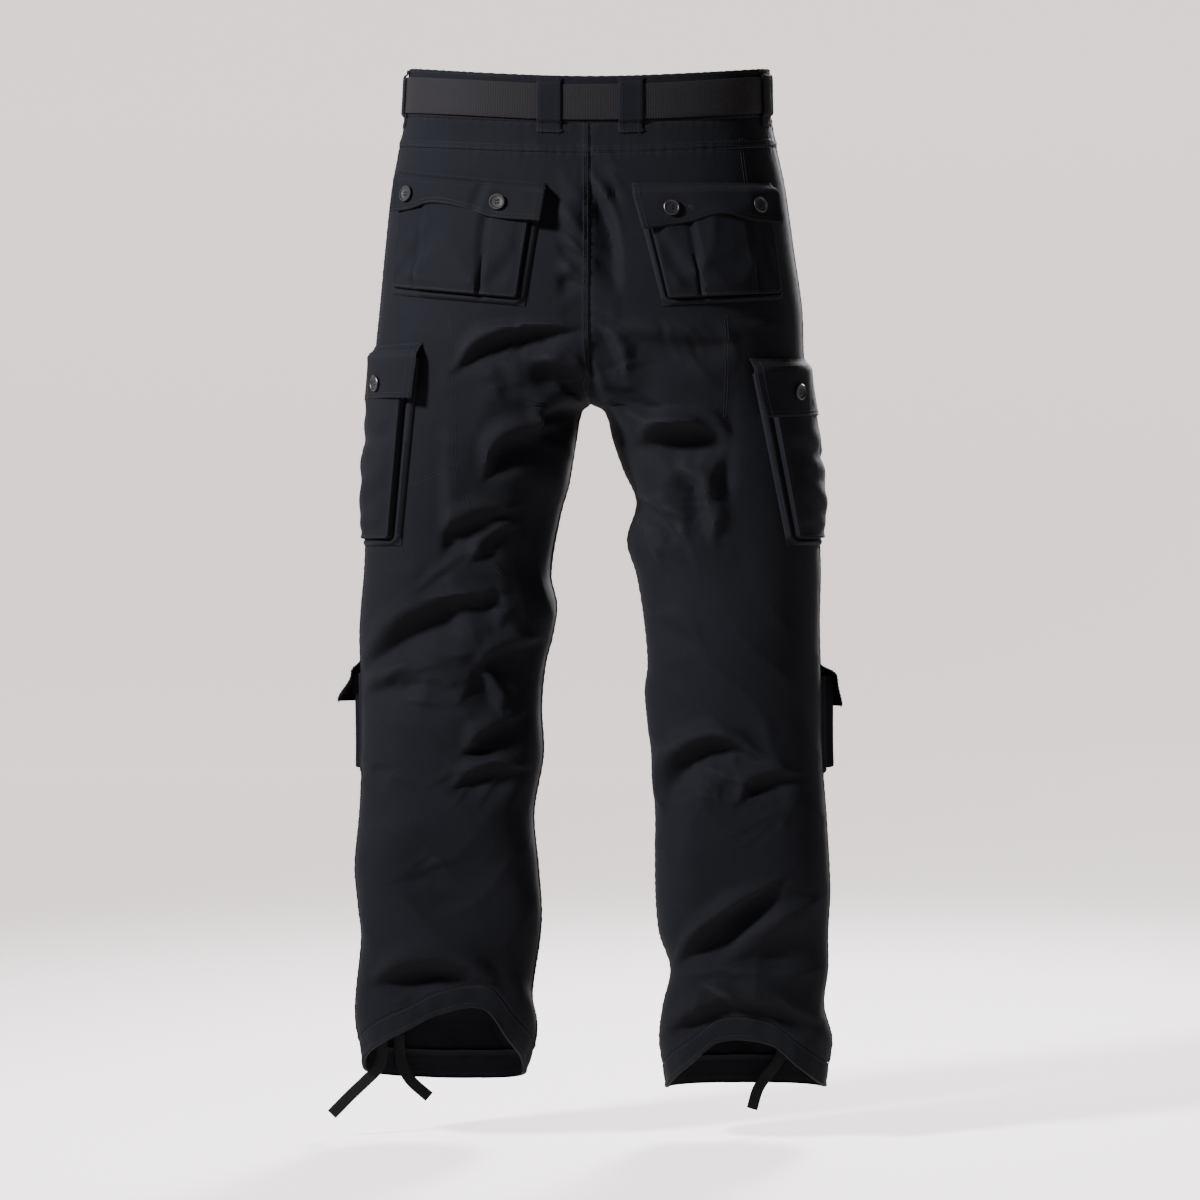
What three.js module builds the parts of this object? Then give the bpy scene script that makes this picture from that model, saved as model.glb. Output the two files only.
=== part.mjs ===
// Cargo trousers in black cotton twill, filled out with nobody in them, with a webbing belt.
// Millimetres, +Z up. The origin is the middle of the waist opening.
// The front faces -Y and the wearer's left side is +X. Heights are given as "down", below the waist.
import * as THREE from "three";

// Driving dimensions
const CLOTH = 1.6;
const SEAM_GAP = 0.3;
const WAISTBAND_DEPTH = 50;
const YOKE_SEAM = 82;
const CROTCH = 352;
const HEM_CASING = 26;
const HEM_DOWN = { left: 1078, right: 1083 };
const CORNER_FULLNESS = 0.07;
const BACK_DIP = 15;
const FRONT_DIP = 28;
const DIP_ENDS_AT = 300;
const HEM_LIFT_STARTS_AT = 700;
const BELT = { top: 9, width: 38, thickness: 2.6, clearance: 0.6 };
const BUTTON = { radius: 8.5, height: 2.6, rim: 2.2, dish: 1, seat: 0.7 };
const FOLD_MIN_WIDTH = 15;

const COLOUR = {
  twill: 0x23252c,
  webbing: 0x35323a,
  button: 0x1b1c20,
  metal: 0x3a3c40,
};

// Outline of each half from behind: the distance from the centre plane of its inner and outer edge.
// Above the crotch the inner edge is the far side of the oval that the half is cut from.
const OUTLINE = {
  left: [
    { down: 0, inner: -191, outer: 191 },
    { down: 50, inner: -194, outer: 194 },
    { down: 82, inner: -198, outer: 200 },
    { down: 125, inner: -190, outer: 208 },
    { down: 189, inner: -168, outer: 215 },
    { down: 252, inner: -128, outer: 221 },
    { down: 300, inner: -84, outer: 226 },
    { down: 328, inner: -46, outer: 227.6 },
    { down: 344, inner: -16, outer: 228.6 },
    { down: 352, inner: 0, outer: 229 },
    { down: 360, inner: 9, outer: 229.8 },
    { down: 390, inner: 15, outer: 232.4 },
    { down: 438, inner: 23, outer: 235 },
    { down: 470, inner: 32, outer: 236 },
    { down: 533, inner: 42, outer: 239 },
    { down: 565, inner: 36, outer: 242 },
    { down: 597, inner: 40, outer: 244 },
    { down: 629, inner: 48, outer: 243 },
    { down: 676, inner: 52, outer: 242 },
    { down: 724, inner: 50, outer: 242 },
    { down: 788, inner: 60, outer: 244 },
    { down: 851, inner: 55, outer: 249 },
    { down: 899, inner: 52, outer: 245 },
    { down: 931, inner: 54, outer: 242 },
    { down: 994, inner: 62, outer: 248 },
    { down: 1026, inner: 57, outer: 249 },
    { down: 1055, inner: 61, outer: 245 },
    { down: 1085, inner: 72, outer: 241 },
  ],
  right: [
    { down: 0, inner: -191, outer: 190 },
    { down: 50, inner: -194, outer: 191 },
    { down: 82, inner: -198, outer: 196 },
    { down: 125, inner: -190, outer: 205 },
    { down: 189, inner: -168, outer: 214 },
    { down: 252, inner: -128, outer: 223 },
    { down: 300, inner: -84, outer: 225 },
    { down: 328, inner: -46, outer: 228 },
    { down: 344, inner: -16, outer: 230 },
    { down: 352, inner: 0, outer: 231 },
    { down: 360, inner: 15, outer: 232 },
    { down: 390, inner: 24, outer: 236.5 },
    { down: 422, inner: 35, outer: 240.5 },
    { down: 456, inner: 49, outer: 243 },
    { down: 497, inner: 39, outer: 243 },
    { down: 533, inner: 49, outer: 244 },
    { down: 581, inner: 57, outer: 243 },
    { down: 629, inner: 61, outer: 244 },
    { down: 660, inner: 58, outer: 245 },
    { down: 724, inner: 65, outer: 246 },
    { down: 788, inner: 69, outer: 250 },
    { down: 867, inner: 69, outer: 254 },
    { down: 915, inner: 73, outer: 252 },
    { down: 954, inner: 85, outer: 252 },
    { down: 994, inner: 77, outer: 248 },
    { down: 1030, inner: 73, outer: 257 },
    { down: 1058, inner: 77, outer: 254 },
    { down: 1090, inner: 82, outer: 250 },
  ],
};

// Sections from the side: where the front and the back of the cloth lie, and how far the fullest
// part of each half is from the centre plane.
const SECTIONS = [
  { down: 0, centre: 0, front: -107, back: 107 },
  { down: 50, centre: 0, front: -109, back: 111 },
  { down: 125, centre: 9, front: -115, back: 124 },
  { down: 210, centre: 30, front: -121, back: 135 },
  { down: 290, centre: 66, front: -121, back: 131 },
  { down: 352, centre: 98, front: -116, back: 117 },
  { down: 420, centre: 124, front: -111, back: 106 },
  { down: 540, centre: 141, front: -98, back: 87 },
  { down: 660, centre: 147, front: -86, back: 72 },
  { down: 720, centre: 148, front: -83, back: 70 },
  { down: 860, centre: 152, front: -66, back: 78 },
  { down: 960, centre: 156, front: -64, back: 70 },
  { down: 1090, centre: 160, front: -68, back: 62 },
];

// How far the hem rides up, round the leg from the inseam over the back to the side and the front.
const HEM_LIFT = {
  left: [
    { turn: 0, lift: 14 },
    { turn: 17, lift: 30 },
    { turn: 40, lift: 54 },
    { turn: 60, lift: 89 },
    { turn: 90, lift: 84 },
    { turn: 114, lift: 66 },
    { turn: 165, lift: 30 },
    { turn: 200, lift: 12 },
    { turn: 250, lift: 1 },
    { turn: 310, lift: 1 },
    { turn: 360, lift: 14 },
  ],
  right: [
    { turn: 0, lift: 3 },
    { turn: 23, lift: 13 },
    { turn: 50, lift: 35 },
    { turn: 73, lift: 60 },
    { turn: 108, lift: 57 },
    { turn: 128, lift: 32 },
    { turn: 150, lift: 13 },
    { turn: 180, lift: 4 },
    { turn: 240, lift: 0 },
    { turn: 320, lift: 0 },
    { turn: 360, lift: 3 },
  ],
};

// Largest folds. Each is a soft trough (depth below zero) or ridge between two places on one face.
const FOLDS = [
  { face: "back", x0: 1, d0: 126, x1: -56, d1: 246, width: 10, depth: -6 },
  { face: "back", x0: 132, d0: 314, x1: 87, d1: 288, width: 12, depth: -7 },
  { face: "back", x0: 87, d0: 288, x1: 18, d1: 282, width: 12, depth: -7 },
  { face: "back", x0: 60, d0: 383, x1: 18, d1: 366, width: 10, depth: -7 },
  { face: "back", x0: 106, d0: 427, x1: 84, d1: 399, width: 11, depth: -7 },
  { face: "back", x0: 84, d0: 399, x1: 38, d1: 389, width: 11, depth: -7 },
  { face: "back", x0: -4, d0: 268, x1: -37, d1: 307, width: 20, depth: -8 },
  { face: "back", x0: -37, d0: 307, x1: -53, d1: 359, width: 20, depth: -8 },
  { face: "back", x0: -37, d0: 366, x1: -108, d1: 375, width: 13, depth: 8 },
  { face: "back", x0: -108, d0: 375, x1: -138, d1: 395, width: 12, depth: 6 },
  { face: "back", x0: -47, d0: 390, x1: -136, d1: 402, width: 15, depth: -10 },
  { face: "back", x0: -48, d0: 442, x1: -101, d1: 498, width: 11, depth: -8 },
  { face: "back", x0: -94, d0: 420, x1: -119, d1: 496, width: 11, depth: -7 },
  { face: "back", x0: 178, d0: 520, x1: 84, d1: 469, width: 12, depth: -8 },
  { face: "back", x0: 235, d0: 634, x1: 178, d1: 594, width: 14, depth: -11 },
  { face: "back", x0: 178, d0: 594, x1: 96, d1: 552, width: 14, depth: -10 },
  { face: "back", x0: 241, d0: 658, x1: 173, d1: 631, width: 12, depth: -8 },
  { face: "back", x0: 116, d0: 640, x1: 105, d1: 672, width: 14, depth: -8 },
  { face: "back", x0: 135, d0: 710, x1: 88, d1: 686, width: 11, depth: -7 },
  { face: "back", x0: 142, d0: 749, x1: 72, d1: 740, width: 11, depth: -7 },
  { face: "back", x0: 235, d0: 862, x1: 70, d1: 862, width: 26, depth: -7 },
  { face: "back", x0: 225, d0: 915, x1: 75, d1: 908, width: 22, depth: 6 },
  { face: "back", x0: 201, d0: 968, x1: 135, d1: 960, width: 14, depth: -8 },
  { face: "back", x0: -105, d0: 716, x1: -175, d1: 725, width: 13, depth: -9 },
  { face: "back", x0: -83, d0: 740, x1: -105, d1: 716, width: 11, depth: -7 },
  { face: "back", x0: -98, d0: 941, x1: -143, d1: 895, width: 12, depth: -8 },
  { face: "back", x0: -143, d0: 895, x1: -181, d1: 868, width: 12, depth: -7 },
  { face: "back", x0: -143, d0: 932, x1: -240, d1: 946, width: 12, depth: -7 },
  { face: "back", x0: -100, d0: 966, x1: -235, d1: 968, width: 15, depth: 6 },
  { face: "back", x0: -105, d0: 984, x1: -162, d1: 1000, width: 12, depth: -8 },
  { face: "front", x0: 30, d0: 300, x1: 120, d1: 268, width: 12, depth: -7 },
  { face: "front", x0: 26, d0: 345, x1: 110, d1: 350, width: 13, depth: -7 },
  { face: "front", x0: -26, d0: 318, x1: -118, d1: 290, width: 12, depth: -7 },
  { face: "front", x0: -30, d0: 372, x1: -104, d1: 392, width: 13, depth: -7 },
  { face: "front", x0: 92, d0: 480, x1: 176, d1: 452, width: 13, depth: -7 },
  { face: "front", x0: -84, d0: 500, x1: -150, d1: 466, width: 12, depth: -7 },
  { face: "front", x0: 62, d0: 590, x1: 160, d1: 566, width: 13, depth: -8 },
  { face: "front", x0: -78, d0: 588, x1: -180, d1: 600, width: 13, depth: -8 },
  { face: "front", x0: 72, d0: 800, x1: 190, d1: 776, width: 14, depth: -8 },
  { face: "front", x0: -92, d0: 786, x1: -205, d1: 806, width: 14, depth: -8 },
  { face: "front", x0: 90, d0: 886, x1: 222, d1: 868, width: 18, depth: -7 },
  { face: "front", x0: -100, d0: 880, x1: -226, d1: 896, width: 18, depth: -7 },
  { face: "front", x0: 84, d0: 972, x1: 200, d1: 990, width: 15, depth: -8 },
  { face: "front", x0: -104, d0: 990, x1: -216, d1: 972, width: 15, depth: -8 },
];

// Smooth value of one column of a table at a given place, by cubic steps between its rows.
function read(table, along, column, place) {
  const last = table.length - 1;
  if (place <= table[0][along]) return table[0][column];
  if (place >= table[last][along]) return table[last][column];
  let i = 0;
  while (table[i + 1][along] < place) i++;
  const slope = (k) => {
    const a = Math.max(k - 1, 0);
    const b = Math.min(k + 1, last);
    return (table[b][column] - table[a][column]) / (table[b][along] - table[a][along]);
  };
  const gap = table[i + 1][along] - table[i][along];
  const t = (place - table[i][along]) / gap;
  const h = (1 - t) * (1 - t);
  return (
    (1 + 2 * t) * h * table[i][column] +
    t * h * gap * slope(i) +
    t * t * (3 - 2 * t) * table[i + 1][column] +
    t * t * (t - 1) * gap * slope(i + 1)
  );
}

function smoothStep(from, to, value) {
  const t = Math.min(1, Math.max(0, (value - from) / (to - from)));
  return t * t * (3 - 2 * t);
}

// The oval of one half at one height.
function oval(side, down) {
  const inner = read(OUTLINE[side], "down", "inner", down);
  const outer = read(OUTLINE[side], "down", "outer", down);
  const front = read(SECTIONS, "down", "front", down);
  const back = read(SECTIONS, "down", "back", down);
  const centre = read(SECTIONS, "down", "centre", down);
  return {
    centre,
    inwards: centre - inner,
    outwards: outer - centre,
    middle: (back + front) / 2,
    halfDepth: (back - front) / 2,
  };
}

// Sideways place of a point of the oval. Turn 0 is the inner edge, pi/2 the back, pi the side seam.
function across(shape, turn) {
  const full = 1 + CORNER_FULLNESS * Math.sin(2 * turn) ** 2;
  return shape.centre - reachOf(shape, turn) * Math.cos(turn) * full;
}

function reachOf(shape, turn) {
  return Math.cos(turn) > 0 ? shape.inwards : shape.outwards;
}

// Turn at which the back of a half has a given sideways place.
function turnAt(side, down, place) {
  const shape = oval(side, down);
  let low = 0;
  let high = Math.PI;
  for (let i = 0; i < 30; i++) {
    const mid = (low + high) / 2;
    if (across(shape, mid) < place) low = mid;
    else high = mid;
  }
  return (low + high) / 2;
}

// Turn at which the cloth lies a given length round from the side seam, backwards if positive.
function turnFromSeam(side, down, length) {
  const shape = oval(side, down);
  const step = 0.01;
  let turn = Math.PI;
  let run = 0;
  while (run < Math.abs(length)) {
    const next = turn - step * Math.sign(length);
    const dy = shape.halfDepth * (Math.sin(next) - Math.sin(turn));
    run += Math.hypot(across(shape, next) - across(shape, turn), dy);
    turn = next;
  }
  return turn;
}

// Folds die away under the pockets, which hold the cloth flat.
const POCKET_GROUND = [
  { face: "back", from: 100, to: 262, near: 36 },
  { face: "back", from: 284, to: 514, near: 158 },
  { face: "front", from: 284, to: 514, near: 150 },
  { face: "front", from: 616, to: 762, near: 90 },
];
const GROUND_EDGE = 14;

function foldShare(face, x, down) {
  let share = 1;
  for (const ground of POCKET_GROUND) {
    if (ground.face !== face) continue;
    const inDown =
      smoothStep(ground.from - GROUND_EDGE, ground.from, down) *
      (1 - smoothStep(ground.to, ground.to + GROUND_EDGE, down));
    const inAcross = smoothStep(ground.near - GROUND_EDGE, ground.near, Math.abs(x));
    share *= 1 - inDown * inAcross;
  }
  return share;
}

function foldRelief(face, x, down) {
  let relief = 0;
  for (const fold of FOLDS) {
    if (fold.face !== face) continue;
    const dx = fold.x1 - fold.x0;
    const dd = fold.d1 - fold.d0;
    const length = Math.hypot(dx, dd);
    const along = ((x - fold.x0) * dx + (down - fold.d0) * dd) / length;
    const off = ((x - fold.x0) * dd - (down - fold.d0) * dx) / length;
    const past = along - Math.min(length, Math.max(0, along));
    const width = Math.max(fold.width, FOLD_MIN_WIDTH);
    relief += fold.depth * Math.exp(-((off / width) ** 2) - (past / (1.4 * width)) ** 2);
  }
  return relief * foldShare(face, x, down);
}

// One point of the cloth's outer face before anything is laid on it.
function clothPoint(side, turn, down) {
  const shape = oval(side, down);
  const sign = side === "left" ? 1 : -1;
  const full = 1 + CORNER_FULLNESS * Math.sin(2 * turn) ** 2;
  const s = Math.sin(turn);
  const x = across(shape, turn);
  const y = shape.middle + shape.halfDepth * s * full;
  const dip = (s > 0 ? BACK_DIP : FRONT_DIP) * s * s * (1 - smoothStep(0, DIP_ENDS_AT, down));
  const degrees = (((turn * 180) / Math.PI) % 360 + 360) % 360;
  const hemLift = read(HEM_LIFT[side], "turn", "lift", degrees);
  const height = down + dip - hemLift * smoothStep(HEM_LIFT_STARTS_AT, HEM_DOWN[side], down);
  const fade = Math.min(1, 1.3 * Math.abs(s));
  const relief = fade * foldRelief(s > 0 ? "back" : "front", sign * x, height);
  const nx = -Math.cos(turn) * shape.halfDepth;
  const ny = s * reachOf(shape, turn);
  const n = Math.hypot(nx, ny);
  return new THREE.Vector3(sign * (x + (nx / n) * relief), y + (ny / n) * relief, -height);
}

function clothNormal(side, turn, down) {
  const aTurn = 0.02;
  const aDown = 2;
  const round = clothPoint(side, turn + aTurn, down).sub(clothPoint(side, turn - aTurn, down));
  const drop = clothPoint(side, turn, down + aDown).sub(clothPoint(side, turn, down - aDown));
  const normal = round.cross(drop).normalize();
  return side === "left" ? normal : normal.negate();
}

// A point raised off the cloth. It never crosses the centre plane between the two halves.
function raised(side, turn, down, lift) {
  const point = clothPoint(side, turn, down).addScaledVector(clothNormal(side, turn, down), lift);
  const half = SEAM_GAP / 2;
  point.x = side === "left" ? Math.max(half, point.x) : Math.min(-half, point.x);
  return point;
}

// A closed wall between an outer and an inner grid of points. A round wall joins its last column
// to its first.
function wall(outer, inner, round = false) {
  const rows = outer.length;
  const columns = outer[0].length;
  const points = [...outer.flat(), ...inner.flat()];
  const faces = [];
  const shift = rows * columns;
  const at = (r, c) => r * columns + (c % columns);
  const quad = (a, b, c, d) => {
    const straight = points[a].distanceTo(points[c]) <= points[b].distanceTo(points[d]);
    if (straight) faces.push(a, b, c, a, c, d);
    else faces.push(a, b, d, b, c, d);
  };
  const spans = round ? columns : columns - 1;
  for (let r = 0; r < rows - 1; r++) {
    for (let c = 0; c < spans; c++) {
      quad(at(r, c), at(r + 1, c), at(r + 1, c + 1), at(r, c + 1));
      quad(shift + at(r, c + 1), shift + at(r + 1, c + 1), shift + at(r + 1, c), shift + at(r, c));
    }
  }
  for (let c = 0; c < spans; c++) {
    const end = rows - 1;
    quad(at(0, c + 1), shift + at(0, c + 1), shift + at(0, c), at(0, c));
    quad(at(end, c), shift + at(end, c), shift + at(end, c + 1), at(end, c + 1));
  }
  if (!round) {
    const end = columns - 1;
    for (let r = 0; r < rows - 1; r++) {
      quad(at(r, 0), shift + at(r, 0), shift + at(r + 1, 0), at(r + 1, 0));
      quad(at(r + 1, end), shift + at(r + 1, end), shift + at(r, end), at(r, end));
    }
  }
  const geometry = new THREE.BufferGeometry();
  geometry.setAttribute(
    "position",
    new THREE.Float32BufferAttribute(points.flatMap((p) => [p.x, p.y, p.z]), 3)
  );
  let volume = 0;
  for (let i = 0; i < faces.length; i += 3) {
    const [a, b, c] = [faces[i], faces[i + 1], faces[i + 2]].map((k) => points[k]);
    volume += a.dot(new THREE.Vector3().crossVectors(b, c));
  }
  if (volume < 0) faces.reverse();
  geometry.setIndex(faces);
  return geometry;
}

const group = new THREE.Group();

function add(name, geometry, colour, roughness = 0.9, metalness = 0) {
  const material = new THREE.MeshStandardMaterial({ color: colour, roughness, metalness });
  const mesh = new THREE.Mesh(geometry, material);
  mesh.name = name;
  group.add(mesh);
  return mesh;
}

// Even values from one end to the other, both included.
function steps(from, to, count) {
  return Array.from({ length: count + 1 }, (_, i) => from + ((to - from) * i) / count);
}

// Panels: each is a wall from the centre or inseam round to the side seam. Near the crotch the rows
// crowd together at the centre and spread out again towards the side.
const PANEL_COLUMNS = 11;
const CROTCH_ROWS = [
  { centre: 318, side: 318 },
  { centre: 334, side: 330 },
  { centre: 344, side: 341 },
  { centre: 349.5, side: 352 },
  { centre: CROTCH, side: 363 },
  { centre: 358, side: 374 },
  { centre: 370, side: 386 },
];
const PANEL_ROWS = [
  ...steps(YOKE_SEAM + SEAM_GAP, 300, 8).map((down) => ({ centre: down, side: down })),
  ...CROTCH_ROWS,
  ...steps(398, 1046, 24).map((down) => ({ centre: down, side: down })),
];

function clothPanel(side, face, rows) {
  const grid = (lift) =>
    rows.map((row) => {
      const seam = SEAM_GAP / 2 / oval(side, row.side).halfDepth;
      const start = row.centre < CROTCH ? turnAt(side, row.centre, SEAM_GAP / 2) : 0;
      const turns = steps(Math.max(seam, start), Math.PI - seam, PANEL_COLUMNS);
      return turns.map((turn, column) => {
        const down = row.centre + (row.side - row.centre) * smoothStep(0, PANEL_COLUMNS, column);
        return raised(side, face === "back" ? turn : 2 * Math.PI - turn, down, lift);
      });
    });
  return wall(grid(0), grid(-CLOTH));
}

function level(down) {
  return { centre: down, side: down };
}

for (const side of ["left", "right"]) {
  const bottom = HEM_DOWN[side] - HEM_CASING - SEAM_GAP;
  const yokeRows = [WAISTBAND_DEPTH + SEAM_GAP, 66, YOKE_SEAM].map(level);
  const backRows = [...PANEL_ROWS.filter((row) => row.side < bottom - 4), level(bottom)];
  const frontRows = [...[WAISTBAND_DEPTH + SEAM_GAP, 66].map(level), ...backRows];
  add(`back_${side}`, clothPanel(side, "back", backRows), COLOUR.twill);
  add(`front_${side}`, clothPanel(side, "front", frontRows), COLOUR.twill);
  add(`yoke_${side}`, clothPanel(side, "back", yokeRows), COLOUR.twill);
}

// Hem casings: a doubled band round the foot of each leg, under the panels.
const DOUBLED = 2.4;
for (const side of ["left", "right"]) {
  const seam = SEAM_GAP / 2 / oval(side, HEM_DOWN[side] - HEM_CASING).halfDepth;
  const half = steps(seam, Math.PI - seam, PANEL_COLUMNS);
  const turns = [...half, ...half.map((turn) => 2 * Math.PI - turn).reverse()];
  const downs = [HEM_DOWN[side] - HEM_CASING, HEM_DOWN[side]];
  const grid = (lift) => downs.map((down) => turns.map((turn) => raised(side, turn, down, lift)));
  add(`hem_${side}`, wall(grid(0), grid(-DOUBLED), true), COLOUR.twill);
}

// Waistband and belt go round both halves, from the centre front by the left side.
const RING_SPANS = 19;
function ringColumns(down) {
  const start = turnAt("left", down, SEAM_GAP / 2);
  const left = steps(2 * Math.PI - start, start, RING_SPANS).map((turn) => ({ side: "left", turn }));
  const right = steps(start, 2 * Math.PI - start, RING_SPANS).map((turn) => ({ side: "right", turn }));
  return [...left, ...right.slice(1)];
}

// The belt stands off the waistband a little more over the front button.
const FRONT_STAND_OFF = 2.8;
function beltLift(point) {
  const near = 1 - smoothStep(26, 70, Math.abs(point.x));
  return BELT.clearance + (point.y < 0 ? FRONT_STAND_OFF * near : 0);
}

function beltPoint(side, turn, down, lift) {
  return raised(side, turn, down, beltLift(clothPoint(side, turn, down)) + lift);
}

{
  const downs = [0, WAISTBAND_DEPTH / 2, WAISTBAND_DEPTH];
  const grid = (lift) =>
    downs.map((down) => ringColumns(down).map((at) => raised(at.side, at.turn, down, lift)));
  add("waistband", wall(grid(0), grid(-DOUBLED)), COLOUR.twill);
}
{
  const downs = [BELT.top, BELT.top + BELT.width / 2, BELT.top + BELT.width];
  const grid = (lift) =>
    downs.map((down) =>
      ringColumns(down).slice(0, -1).map((at) => beltPoint(at.side, at.turn, down, lift))
    );
  add("belt", wall(grid(BELT.thickness), grid(0), true), COLOUR.webbing);
}

// The belt's free end lies over it on the wearer's left of the buckle, with a metal tip.
const BELT_END = { from: 26, to: 92, tip: 11, tipThickness: 3.4 };
function beltLayer(from, to, spans, inset, thickness) {
  const downs = [BELT.top + inset, BELT.top + BELT.width - inset];
  const base = BELT.thickness + 0.4;
  const grid = (lift) =>
    downs.map((down) =>
      steps(from, to, spans).map((x) =>
        beltPoint("left", 2 * Math.PI - turnAt("left", down, x), down, base + lift)
      )
    );
  return wall(grid(thickness), grid(0));
}
const tipFrom = BELT_END.to + SEAM_GAP;
add("belt_end", beltLayer(BELT_END.from, BELT_END.to, 5, 0.4, BELT.thickness), COLOUR.webbing);
add(
  "belt_tip",
  beltLayer(tipFrom, tipFrom + BELT_END.tip, 2, 0, BELT_END.tipThickness),
  COLOUR.metal, 0.45, 0.9
);

// Buckle: a plain folded plate across the belt at the centre front.
const BUCKLE = { width: 46, wall: 2, clearance: 0.8, flange: 3.4, standOff: 1.3 };
{
  const halfHeight = BELT.width / 2 + BUCKLE.clearance;
  const middle = BELT.top + BELT.width / 2;
  const seat = beltPoint("left", 2 * Math.PI - turnAt("left", middle, 0.2), middle, BELT.thickness);
  const outline = new THREE.Shape([
    new THREE.Vector2(0, -halfHeight - BUCKLE.wall),
    new THREE.Vector2(BUCKLE.wall + BUCKLE.flange, -halfHeight - BUCKLE.wall),
    new THREE.Vector2(BUCKLE.wall + BUCKLE.flange, -halfHeight),
    new THREE.Vector2(BUCKLE.wall, -halfHeight),
    new THREE.Vector2(BUCKLE.wall, halfHeight),
    new THREE.Vector2(BUCKLE.wall + BUCKLE.flange, halfHeight),
    new THREE.Vector2(BUCKLE.wall + BUCKLE.flange, halfHeight + BUCKLE.wall),
    new THREE.Vector2(0, halfHeight + BUCKLE.wall),
  ]);
  const geometry = new THREE.ExtrudeGeometry(outline, { depth: BUCKLE.width, bevelEnabled: false });
  geometry.translate(0, 0, -BUCKLE.width / 2);
  geometry.applyMatrix4(
    new THREE.Matrix4().makeBasis(
      new THREE.Vector3(0, 1, 0), new THREE.Vector3(0, 0, 1), new THREE.Vector3(1, 0, 0)
    )
  );
  const buckle = add("belt_buckle", geometry, COLOUR.metal, 0.45, 0.9);
  buckle.position.set(0, seat.y - BUCKLE.wall - BUCKLE.standOff, seat.z);
}

// Belt loops: strips that stand over the belt and come back to the cloth above and below it.
const LOOP = { width: 25, thickness: 1.5, top: 2, bottom: 61, gap: 0.6 };
const LOOPS = [
  { name: "loop_back_left", side: "left", turnAt: (d, w) => turnAt("left", d, 42 + w) },
  { name: "loop_back_right", side: "right", turnAt: (d, w) => turnAt("right", d, 42 + w) },
  { name: "loop_side_left", side: "left", turnAt: (d, w) => turnFromSeam("left", d, 12 + w) },
  { name: "loop_side_right", side: "right", turnAt: (d, w) => turnFromSeam("right", d, 40 + w) },
  {
    name: "loop_front_left",
    side: "left",
    turnAt: (d, w) => 2 * Math.PI - turnAt("left", d, 125 + w),
  },
  {
    name: "loop_front_right",
    side: "right",
    turnAt: (d, w) => 2 * Math.PI - turnAt("right", d, 125 + w),
  },
];
for (const loop of LOOPS) {
  const over = BELT.clearance + BELT.thickness + LOOP.gap;
  const t = LOOP.thickness;
  const low = BELT.top + BELT.width + 1.5;
  const high = BELT.top - 1.5;
  const profile = [
    { inner: LOOP.top, outer: LOOP.top, lift: SEAM_GAP },
    { inner: high - 1.5, outer: high - 1.5 - t, lift: SEAM_GAP },
    { inner: high, outer: high - t, lift: over },
    { inner: low, outer: low + t, lift: over },
    { inner: low + 1.5, outer: low + 1.5 + t, lift: SEAM_GAP },
    { inner: LOOP.bottom, outer: LOOP.bottom, lift: SEAM_GAP },
  ];
  const offsets = steps(-LOOP.width / 2, LOOP.width / 2, 4);
  const grid = (key, extra) =>
    profile.map((row) =>
      offsets.map((w) => raised(loop.side, loop.turnAt(row[key], w), row[key], row.lift + extra))
    );
  add(loop.name, wall(grid("outer", t), grid("inner", 0)), COLOUR.twill);
}

// Fly: a stitched strip on the wearer's left front, beside the centre seam.
const FLY = { top: 54, bottom: 212, width: 36, foot: 16, thickness: 1.6 };
{
  const grid = (lift) =>
    steps(0, 1, 7).map((t) => {
      const down = FLY.top + (FLY.bottom - FLY.top) * t;
      const width = FLY.foot + (FLY.width - FLY.foot) * (1 - smoothStep(0.7, 1.1, t));
      return steps(0.8, width, 3).map((x) =>
        raised("left", 2 * Math.PI - turnAt("left", down, x), down, lift)
      );
    });
  add("fly", wall(grid(SEAM_GAP + FLY.thickness), grid(SEAM_GAP)), COLOUR.twill);
}

const mix = (a, b, t) => a + (b - a) * t;

// Pockets. Each lies between two edges; "near" is the edge at the back or at the middle of the body.
// The rise is how far its gusset holds the face off the cloth, at the near edge, the middle and the
// far edge. A flap reaches further at some places than at others, as its own table says.
const SEAT_FLAP_REACH = {
  left: [
    { across: 0, reach: 45 }, { across: 0.27, reach: 44 }, { across: 0.42, reach: 37 },
    { across: 0.63, reach: 34 }, { across: 0.8, reach: 42 }, { across: 1, reach: 47 },
  ],
  right: [
    { across: 0, reach: 54 }, { across: 0.31, reach: 45 }, { across: 0.5, reach: 37 },
    { across: 0.72, reach: 43 }, { across: 1, reach: 45 },
  ],
};
const STRAIGHT_REACH = (reach) => [{ across: 0, reach }, { across: 1, reach }];

const backEdge = (side, top, bottom) => (t, down) => turnAt(side, down, mix(top, bottom, t));
const seamEdge = (side, top, bottom) => (t, down) => turnFromSeam(side, down, mix(top, bottom, t));

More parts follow.
